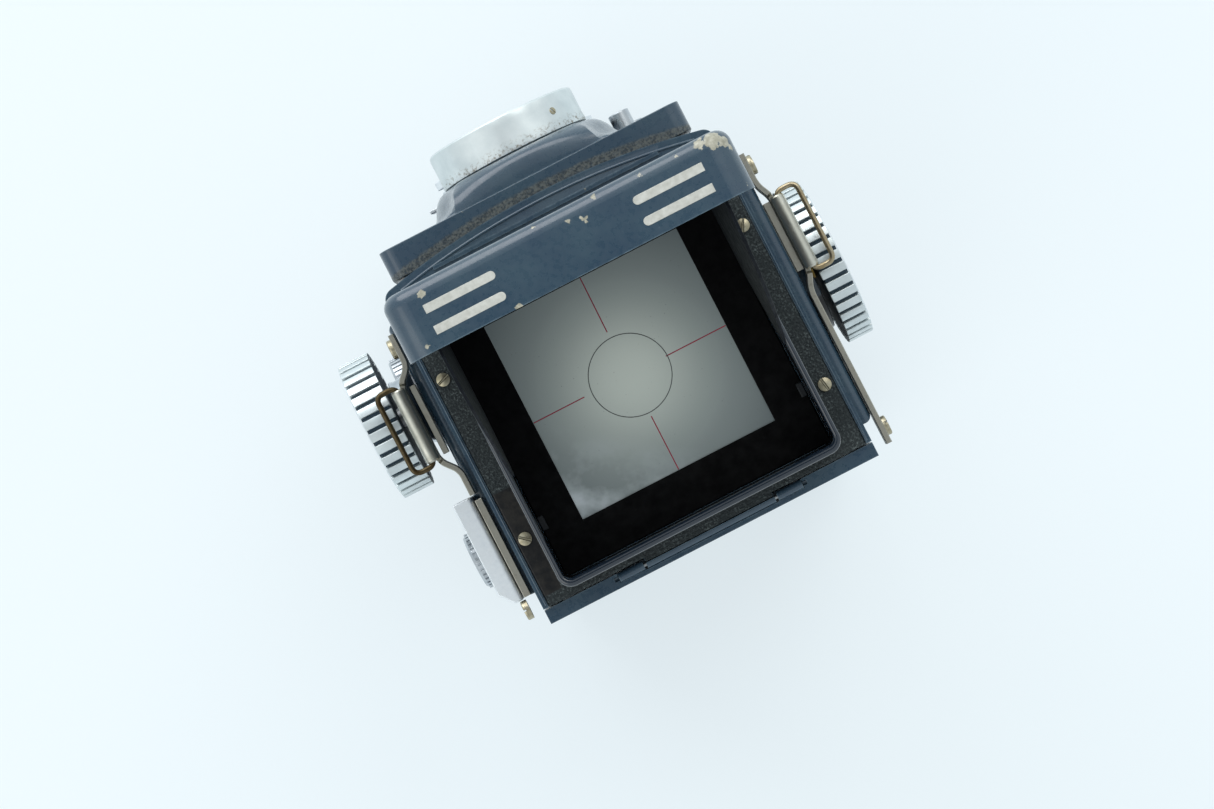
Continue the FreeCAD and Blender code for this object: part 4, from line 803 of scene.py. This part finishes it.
# %% [markdown]
# The lens rings have broad shallow flutes for the fingers.  Each ring is turned, and a wave pulls its
# rim in eighteen times round.

# %% Lens rings
FLUTES = 18


def fluted(depth, clear_from, clear_to):
    """A wave that fades out towards both ends of the fluted band."""
    def wave(angle, radius, distance):
        if radius < 15.0:
            return radius
        rise, fall = (min(1.0, max(0.0, run / 0.5)) for run in (distance - clear_from, clear_to - distance))
        fade = rise * fall
        return radius - depth * fade * (0.5 - 0.5 * math.cos(FLUTES * angle)) ** 0.8
    return wave


lathe([(14.3, 49.6), (15.6, 49.55), (15.95, 49.8), (16.0, 50.3), (16.0, 51.5), (16.0, 53.5), (16.0, 55.5),
       (16.0, 56.2), (15.9, 56.8), (15.55, 57.15), (15.1, LENS_FRONT), (13.4, LENS_FRONT), (12.95, 57.0),
       (12.9, 56.2), (14.2, 56.15), (14.3, 56.0)],
      (0, 0, VIEWING_Z), (0, -1, 0), "viewing_ring_turned", CHROME_RING, "viewing_ring", segments=288,
      wave=fluted(0.08, 50.3, 56.6))
lathe([(12.65, 54.7), (15.7, 54.65), (15.98, 54.9), (16.0, 55.4), (16.0, 56.0), (15.9, 56.8), (15.5, 57.15),
       (14.9, LENS_FRONT), (13.2, LENS_FRONT), (12.75, 56.9), (12.62, 56.2)],
      (0, 0, TAKING_Z), (0, -1, 0), "taking_ring_turned", CHROME_RING, "taking_ring", segments=288,
      wave=fluted(0.08, 54.9, 56.7))
for kind, height, rear in (("viewing", VIEWING_Z, 50.0), ("taking", TAKING_Z, 44.0)):
    profile = [(11.65, rear), (14.18, rear), (14.18, 54.4)]
    profile += [(12.9, 54.4)] if kind == "taking" else [(14.18, 55.9), (12.8, 55.9)]
    profile += [(12.5 - 0.25 * (step % 2), 54.2 - step * 0.35) for step in range(8)]
    profile += [(11.65, 51.0)]
    lathe(profile, (0, 0, height), (0, -1, 0), f"{kind}_barrel_threads", BLACK, f"{kind}_barrel",
          segments=128, replace=False)
print("two fluted rings")

# %% [markdown]
# Rings of repeated bars come from Geometry Nodes.  The tree puts one bar on each point of a circle,
# turned to face outwards.  It takes the bar, the count and the radius as inputs.  The knobs' bright
# bars and the small knobs' knurls use the same tree.

# %% Geometry Nodes: a ring of bars
def open_tree(name, inputs):
    """A geometry tree with named inputs, its group nodes and each input's identifier."""
    tree = bpy.data.node_groups.new(name, "GeometryNodeTree")
    named = {}
    for label, kind in inputs.items():
        socket = tree.interface.new_socket(label, in_out="INPUT", socket_type="NodeSocket" + kind)
        named[label] = socket.identifier
    tree.interface.new_socket("Geometry", in_out="OUTPUT", socket_type="NodeSocketGeometry")
    return tree, add(tree, "NodeGroupInput").outputs, named


def close_tree(tree, instances, material):
    """Realize the instances, give them their finish and send them out."""
    solid = add(tree, "GeometryNodeRealizeInstances", {"Geometry": instances}).outputs["Geometry"]
    coated = add(tree, "GeometryNodeSetMaterial", {"Geometry": solid, "Material": material})
    add(tree, "NodeGroupOutput", {"Geometry": coated.outputs["Geometry"]})


def ring_tree():
    tree, given, named = open_tree("ring_of_bars", {"Bar": "Object", "Count": "Int", "Radius": "Float",
                                                    "Finish": "Material"})
    circle = add(tree, "GeometryNodeMeshCircle", {"Vertices": given["Count"], "Radius": given["Radius"]})
    step = calc(tree, "DIVIDE", 2 * math.pi, given["Count"])
    index = add(tree, "GeometryNodeInputIndex").outputs["Index"]
    turn = add(tree, "ShaderNodeCombineXYZ", {"Z": times(tree, index, step)}).outputs["Vector"]
    bar = add(tree, "GeometryNodeObjectInfo", {"Object": given["Bar"]}).outputs["Geometry"]
    placed = add(tree, "GeometryNodeInstanceOnPoints",
                 {"Points": circle.outputs["Mesh"], "Instance": bar, "Rotation": turn}).outputs["Instances"]
    close_tree(tree, placed, given["Finish"])
    return tree, named


def run_tree(tree, named, values, holder):
    """Set a tree's inputs on a holder by identifier, and take the finished mesh."""
    nodes = holder.modifiers.new("nodes", "NODES")
    nodes.node_group = tree
    for label, value in values.items():
        nodes[named[label]] = value
    mesh = applied(holder)
    holder.modifiers.remove(nodes)
    return mesh


def bar_mesh(width, length, height, edge, crown=0.0):
    """A bar with rounded edges: its width runs round the ring and its length along the axis."""
    bm = bmesh.new()
    bmesh.ops.create_cube(bm, size=1.0)
    bmesh.ops.scale(bm, verts=bm.verts, vec=Vector((height, width, length)) * MM)
    bmesh.ops.bevel(bm, geom=bm.edges[:], offset=edge * MM, segments=3, profile=0.6, affect="EDGES")
    for vertex in bm.verts:
        if vertex.co.x > 0:
            vertex.co.x -= crown * MM * (2 * vertex.co.y / (width * MM)) ** 2
    return mesh_of("bar", bm)


RING_TREE, RING_INPUTS = ring_tree()


def ring_of_bars(name, bar, count, radius, centre, axis, material, node):
    """Bars round an axis along X; axis is the centre of the bars along it."""
    maker = linked("bar_source", bar)
    holder = linked("bar_holder", bpy.data.meshes.new("empty"))
    mesh = run_tree(RING_TREE, RING_INPUTS, {"Bar": maker, "Count": count, "Radius": radius * MM,
                                             "Finish": material}, holder)
    onto_x = Matrix(((0, 0, 1), (1, 0, 0), (0, 1, 0))).to_4x4()
    mesh.transform(Matrix.Translation(Vector((axis, *centre)) * MM) @ onto_x)
    bpy.data.objects.remove(maker)
    bpy.data.objects.remove(holder)
    return settle(bpy.data.objects.new(name, mesh), material, node, None, False)


def barred_knob(node, side, inner, outer, radius, centre, bars):
    """A knob: a dark drum, bright bars round it, and a turned face."""
    width = outer - inner
    drum = [(2.1, 0.3), (radius - 3.2, 0.3), (radius - 1.4, 0.35), (radius - 0.75, 0.6),
            (radius - 0.7, width - 0.7), (radius - 1.2, width - 0.35), (2.1, width - 0.4)]
    start = (side * inner, *centre)
    lathe(drum, start, (side, 0, 0), node + "_drum", KNOB_BLACK, node, segments=160)
    face = [(radius - 1.0, width - 0.35), (radius - 1.25, width - 0.02), (radius - 1.9, width),
            (radius - 2.2, width - 0.12), (radius * 0.62, width - 0.14), (radius * 0.6, width - 0.3),
            (radius * 0.3, width - 0.34), (radius * 0.28, width - 0.15), (0.0, width - 0.12)]
    lathe(face, start, (side, 0, 0), node + "_face", ALUMINIUM, node, segments=160, replace=False)
    pitch = 2 * math.pi * radius / bars
    bar = bar_mesh(pitch * 0.68, width - 0.5, 1.3, 0.16, 0.06)
    ring_of_bars(node + "_bars", bar, bars, radius - 0.67, centre, side * (inner + width / 2), KNOB_SILVER,
                 node)


barred_knob("focus_knob", 1, 44.1, 51.1, 14.65, (-13.1, 86.0), 34)
barred_knob("wind_knob", -1, 41.7, 47.5, 16.75, (-2.3, 84.34), 40)
for node, centre in (("upper_spool_knob", (19.5, 75.3)), ("lower_spool_knob", (-21.0, 13.7))):
    head = [(2.4, 38.2), (2.4, 40.0), (5.0, 40.0), (5.6, 40.2), (5.7, 40.7), (5.7, 44.4), (5.3, 44.9),
            (4.2, 45.0), (3.9, 44.8), (0.0, 44.8)]
    lathe(head, (0, *centre), (1, 0, 0), node + "_head", CHROME, node, segments=96)
    knurl = bar_mesh(0.75, 4.0, 0.7, 0.12)
    ring_of_bars(node + "_knurl", knurl, 32, 5.65, centre, 42.45, CHROME, node)
lathe([(2.35, 38.15), (9.4, 38.15), (9.5, 38.5), (8.6, 39.0), (7.7, 39.9), (7.2, 41.2), (7.1, 42.4),
       (7.35, 43.2), (7.3, 43.45), (2.35, 43.45)],
      (0, -13.1, 86.0), (1, 0, 0), "focus_boss_turned", POLISHED, "focus_boss", segments=128)
print("knobs done")

# %% [markdown]
# Screws also come from Geometry Nodes.  A tree reads a turn from each point and stands one slotted
# head there.  The heads sit on the deck, at the ends of the strap strips and in the viewing ring.

# %% Geometry Nodes: screws
def screw_head(radius, height, slot):
    """A slotted head made of a low disc and two raised segments."""
    bm = bmesh.new()
    around = [(math.cos(2 * math.pi * step / 48), math.sin(2 * math.pi * step / 48)) for step in range(48)]
    prism(bm, [(radius * x, radius * y) for x, y in around], -0.3, height * 0.45)
    half = slot / 2
    for side in (-1, 1):
        points = [(radius * x, radius * y) for x, y in around if side * radius * y > half]
        points.sort(key=lambda point: side * -point[0])
        edge = math.sqrt(radius * radius - half * half)
        points = [(side * edge, side * half)] + points + [(-side * edge, side * half)]
        prism(bm, points, height * 0.4, height)
    bmesh.ops.recalc_face_normals(bm, faces=bm.faces)
    tops = [edge for edge in bm.edges if all(vertex.co.z > height * MM * 0.9 for vertex in edge.verts)]
    bmesh.ops.bevel(bm, geom=tops, offset=height * 0.25 * MM, segments=2, profile=0.5, affect="EDGES")
    return mesh_of("screw_head", bm)


def screw_tree():
    tree, given, named = open_tree("screws_on_points", {"Places": "Object", "Head": "Object",
                                                        "Finish": "Material"})
    places = add(tree, "GeometryNodeObjectInfo", {"Object": given["Places"]}).outputs["Geometry"]
    head = add(tree, "GeometryNodeObjectInfo", {"Object": given["Head"]}).outputs["Geometry"]
    turn = add(tree, "GeometryNodeInputNamedAttribute", {"Name": "turn"}, data_type="FLOAT_VECTOR")
    placed = add(tree, "GeometryNodeInstanceOnPoints", {"Points": places, "Instance": head,
                                                        "Rotation": turn.outputs["Attribute"]})
    close_tree(tree, placed.outputs["Instances"], given["Finish"])
    return tree, named


SCREW_TREE, SCREW_INPUTS = screw_tree()


def screws(name, head, places, material, body, node=None):
    """Stand heads at places given as (point, direction out of the head, turn of the slot)."""
    points = bpy.data.meshes.new("screw_places")
    points.from_pydata([Vector(at) * MM for at, out, spin in places], [], [])
    turn = points.attributes.new("turn", "FLOAT_VECTOR", "POINT")
    for number, (at, out, spin) in enumerate(places):
        spun = Matrix.Rotation(math.radians(spin), 3, "Z").to_quaternion()
        facing = Vector(out).to_track_quat("Z", "Y") @ spun
        turn.data[number].vector = Vector(facing.to_euler())
    source, where = linked("head_source", head), linked("screw_places", points)
    holder = linked("screw_holder", bpy.data.meshes.new("empty"))
    mesh = run_tree(SCREW_TREE, SCREW_INPUTS, {"Places": where, "Head": source, "Finish": material}, holder)
    for item in (source, where, holder):
        bpy.data.objects.remove(item)
    return settle(bpy.data.objects.new(name, mesh), material, node, None if node else body, bool(node), 35)


deck_screws = [((side * 32.7, along, FLANGE_TOP), (0, 0, 1), spin)
               for side, along, spin in ((-1, -15.5, 62), (-1, 19.2, 100), (1, -15.5, 20), (1, 19.2, 140))]
screws("deck_screws", screw_head(1.35, 0.42, 0.3), deck_screws, SCREW_METAL, "chassis", "screws")
strip_screws = [((-39.4, -25.3, 101.2), (-1, 0, 0), 15), ((-39.4, 31.8, 101.2), (-1, 0, 0), 70),
                ((38.5, -25.3, 101.2), (1, 0, 0), 40), ((38.5, 31.8, 101.2), (1, 0, 0), 95)]
screws("strip_screws", screw_head(2.0, 0.95, 0.45), strip_screws, SCREW_METAL, "chassis")
lean = math.radians(41)
set_screw_at = (-15.85 * math.sin(lean), -53.5, VIEWING_Z + 15.85 * math.cos(lean))
outward = (-math.sin(lean), 0, math.cos(lean))
screws("ring_set_screw", screw_head(0.75, 0.2, 0.2), [(set_screw_at, outward, 35)], SCREW_METAL, "lens_unit")
print("nine screws")

# %% [markdown]
# Strap hardware.  A sheet strip steps out from the body, runs along behind the wire and steps back.
# Its top is rolled into a barrel for the wire ring.

# %% Strips, barrels and wire rings
def round_corners(points, radius, steps=6):
    """A course of points with its corners rounded."""
    course = [Vector(points[0])]
    for before, corner, after in zip(points, points[1:], points[2:]):
        corner = Vector(corner)
        back = (Vector(before) - corner).normalized() * radius
        ahead = (Vector(after) - corner).normalized() * radius
        for step in range(steps + 1):
            share = step / steps
            course.append(corner + back * (1 - share) ** 2 + ahead * share ** 2)
    course.append(Vector(points[-1]))
    return course


def bent_strip(name, points, thick, low, top_at, material, node):
    """A sheet strip standing on edge along a bent course of (x, y) points."""
    course = round_corners(points, 1.5)
    bm = bmesh.new()
    rings = []
    soft = 0.16
    for number, point in enumerate(course):
        before, after = course[max(number - 1, 0)], course[min(number + 1, len(course) - 1)]
        along = (after - before).normalized()
        out = Vector((along.y, -along.x))
        half = thick / 2
        high = top_at(point.y)
        section = [(-half, low + soft), (-half, high - soft), (-half + soft, high), (half - soft, high),
                   (half, high - soft), (half, low + soft), (half - soft, low), (-half + soft, low)]
        rings.append([bm.verts.new(Vector((point.x + out.x * reach, point.y + out.y * reach, z)) * MM)
                      for reach, z in section])
    loft(bm, rings)
    bm.faces.new(rings[0][::-1])
    bm.faces.new(rings[-1])
    bmesh.ops.recalc_face_normals(bm, faces=bm.faces)
    return new_piece(name, bm, material, node, smooth=40)


def strip_top(y):
    """The strip's top edge, lower where the barrel lies on it."""
    return 101.9 if -18.4 < y < -1.6 else 103.35


LUG_Z = 102.6
for side, name, strip_x, lug_x, end_y, wire in ((1, "left", 37.9, 41.7, 7.0, RUSTY_WIRE),
                                                (-1, "right", 38.8, 41.3, 35.1, TAN_WIRE)):
    reach = lug_x - 1.0
    course = [(side * strip_x, -28.0), (side * strip_x, -21.2), (side * reach, -18.2), (side * reach, -1.8),
              (side * strip_x, 1.6), (side * strip_x, end_y)]
    node = f"{name}_strap_bracket"
    bent_strip(f"{name}_strip", course, 1.15, 98.9, strip_top, NICKEL, node)
    barrel = [(0.66, -17.8), (1.1, -17.8), (1.36, -17.5), (1.4, -17.0), (1.4, -3.0), (1.36, -2.5),
              (1.1, -2.2), (0.66, -2.2)]
    near_x, far_x = side * lug_x, side * (lug_x + 4.4)
    lathe(barrel, (near_x, 0, LUG_Z), (0, 1, 0), f"{name}_lug_barrel", BARREL_NICKEL, node, segments=48,
          replace=False)
    ends = [(near_x, -18.5, LUG_Z), (near_x, -1.5, LUG_Z), (far_x, -1.5, LUG_Z + 0.5),
            (far_x, -18.5, LUG_Z + 0.5)]
    loop = round_corners(ends[-1:] + ends + ends[:1], 1.7, 7)[1:-1]
    tube_along(loop, 0.55, f"{name}_wire_ring", wire, f"{name}_d_ring", closed=True)
print("strap hardware done")

# %% [markdown]
# Marks on the focusing screen: an etched circle, and four thin red lines that stop short of it.
# They lie in a film a few hundredths of a millimetre thick on the glass.

# %% Screen marks
FILM = 0.03
CIRCLE_RADIUS = 8.2
CIRCLE_WIDTH = 0.17
LINE_WIDTH = 0.22
inner, outer = CIRCLE_RADIUS - CIRCLE_WIDTH / 2, CIRCLE_RADIUS + CIRCLE_WIDTH / 2
lathe([(inner, 0), (outer, 0), (outer, FILM), (inner, FILM), (inner, 0)], (0, 0.3, SCREEN_TOP), (0, 0, 1),
      "screen_circle", ETCHED_LINE, None, segments=128, replace=False, body="chassis")
for name, start, end in (("front", (0, -21.05), (0.15, -9.2)), ("rear", (0, 21.05), (0, 9.3)),
                         ("left", (21.05, 0), (9.9, 0)), ("right", (-21.05, 0.2), (-7.9, 0.2))):
    half = LINE_WIDTH / 2
    (x0, y0), (x1, y1) = start, end
    if abs(x1 - x0) > abs(y1 - y0):
        west, east = min(x0, x1), max(x0, x1)
        outline = [(west, y0 - half), (east, y1 - half), (east, y1 + half), (west, y0 + half)]
    else:
        south, north = min(y0, y1), max(y0, y1)
        outline = [(x0 - half, south), (x0 + half, south), (x1 + half, north), (x1 - half, north)]
    slab(f"screen_line_{name}", outline, SCREEN_TOP, SCREEN_TOP + FILM, RED_LINE, body="chassis",
         edge_mm=0.005)
print("screen marked")


# %% [markdown]
# The camera looks straight down from three quarters of a metre above the screen.  The tabletop glows
# faintly, as a pale table does when light reaches it from all round.  A dark card above the camera is
# seen only in reflections: it makes flat enamel read dark and leaves the edges light.

# %% Stage, lights and camera
def flat_sheet(name, reach, height):
    """A square sheet of the stage that reaches this far each way, in metres."""
    bm = bmesh.new()
    bmesh.ops.create_grid(bm, x_segments=1, y_segments=1, size=reach)
    bmesh.ops.translate(bm, verts=bm.verts, vec=(0, 0, height))
    return linked(name, mesh_of(name, bm))


def make_floor():
    floor = flat_sheet("floor", 3.0, 0.0)
    material, tree, shader, place = start_material("pale_tabletop", "#949a9c", 0.0, 0.75,
                                                   Emission_Strength=0.62)
    shader.inputs["Emission Color"].default_value = linear("#f0faff")
    floor.data.materials.append(material)


def make_dark_card():
    """The photographer's own shadow: a dark card behind the camera, seen only in reflections."""
    card = flat_sheet("dark_card", 0.13, 0.9)
    card.data.materials.append(start_material("dark_card_black", "#0c1016", 0.0, 0.9)[0])
    card.visible_camera = False
    card.visible_shadow = False


def area_light(name, place, aim, size, power, hex_colour):
    light = bpy.data.lights.new(name, "AREA")
    light.shape = "DISK"
    light.size = size
    light.energy = power
    light.color = linear(hex_colour)[:3]
    holder = linked(name, light)
    holder.location = place
    holder.rotation_euler = (Vector(aim) - Vector(place)).to_track_quat("-Z", "Y").to_euler()


make_floor()
make_dark_card()
area_light("key_light", (-0.9, -0.9, 1.3), (0, 0, 0.1), 1.2, 8, "#fffdf8")
area_light("fill_light", (1.1, 0.4, 1.2), (0, 0, 0.1), 1.4, 5, "#fffcf6")
area_light("front_light", (0.2, -1.5, 0.75), (0, 0, 0.12), 1.3, 13, "#fdfdff")
world = bpy.data.worlds.new("soft_room")
bpy.context.scene.world = world
world.use_nodes = True
world.node_tree.nodes["Background"].inputs["Color"].default_value = linear("#edf6fb")
world.node_tree.nodes["Background"].inputs["Strength"].default_value = 0.8

CAMERA_RIGHT = Vector((-0.889, 0.458, 0)).normalized()
CAMERA_UP = Vector((-0.458, -0.889, 0)).normalized()
lens = bpy.data.cameras.new("overhead_camera")
lens.sensor_width = 36.0
lens.lens = 113.87
lens.clip_start = 0.05
camera = linked("overhead_camera", lens)
turn = Matrix((CAMERA_RIGHT, CAMERA_UP, Vector((0, 0, 1)))).transposed()
camera.matrix_world = Matrix.Translation((6.64 * MM, 3.32 * MM, 0.850)) @ turn.to_4x4()
bpy.context.scene.camera = camera
bpy.context.scene.view_settings.view_transform = "Standard"
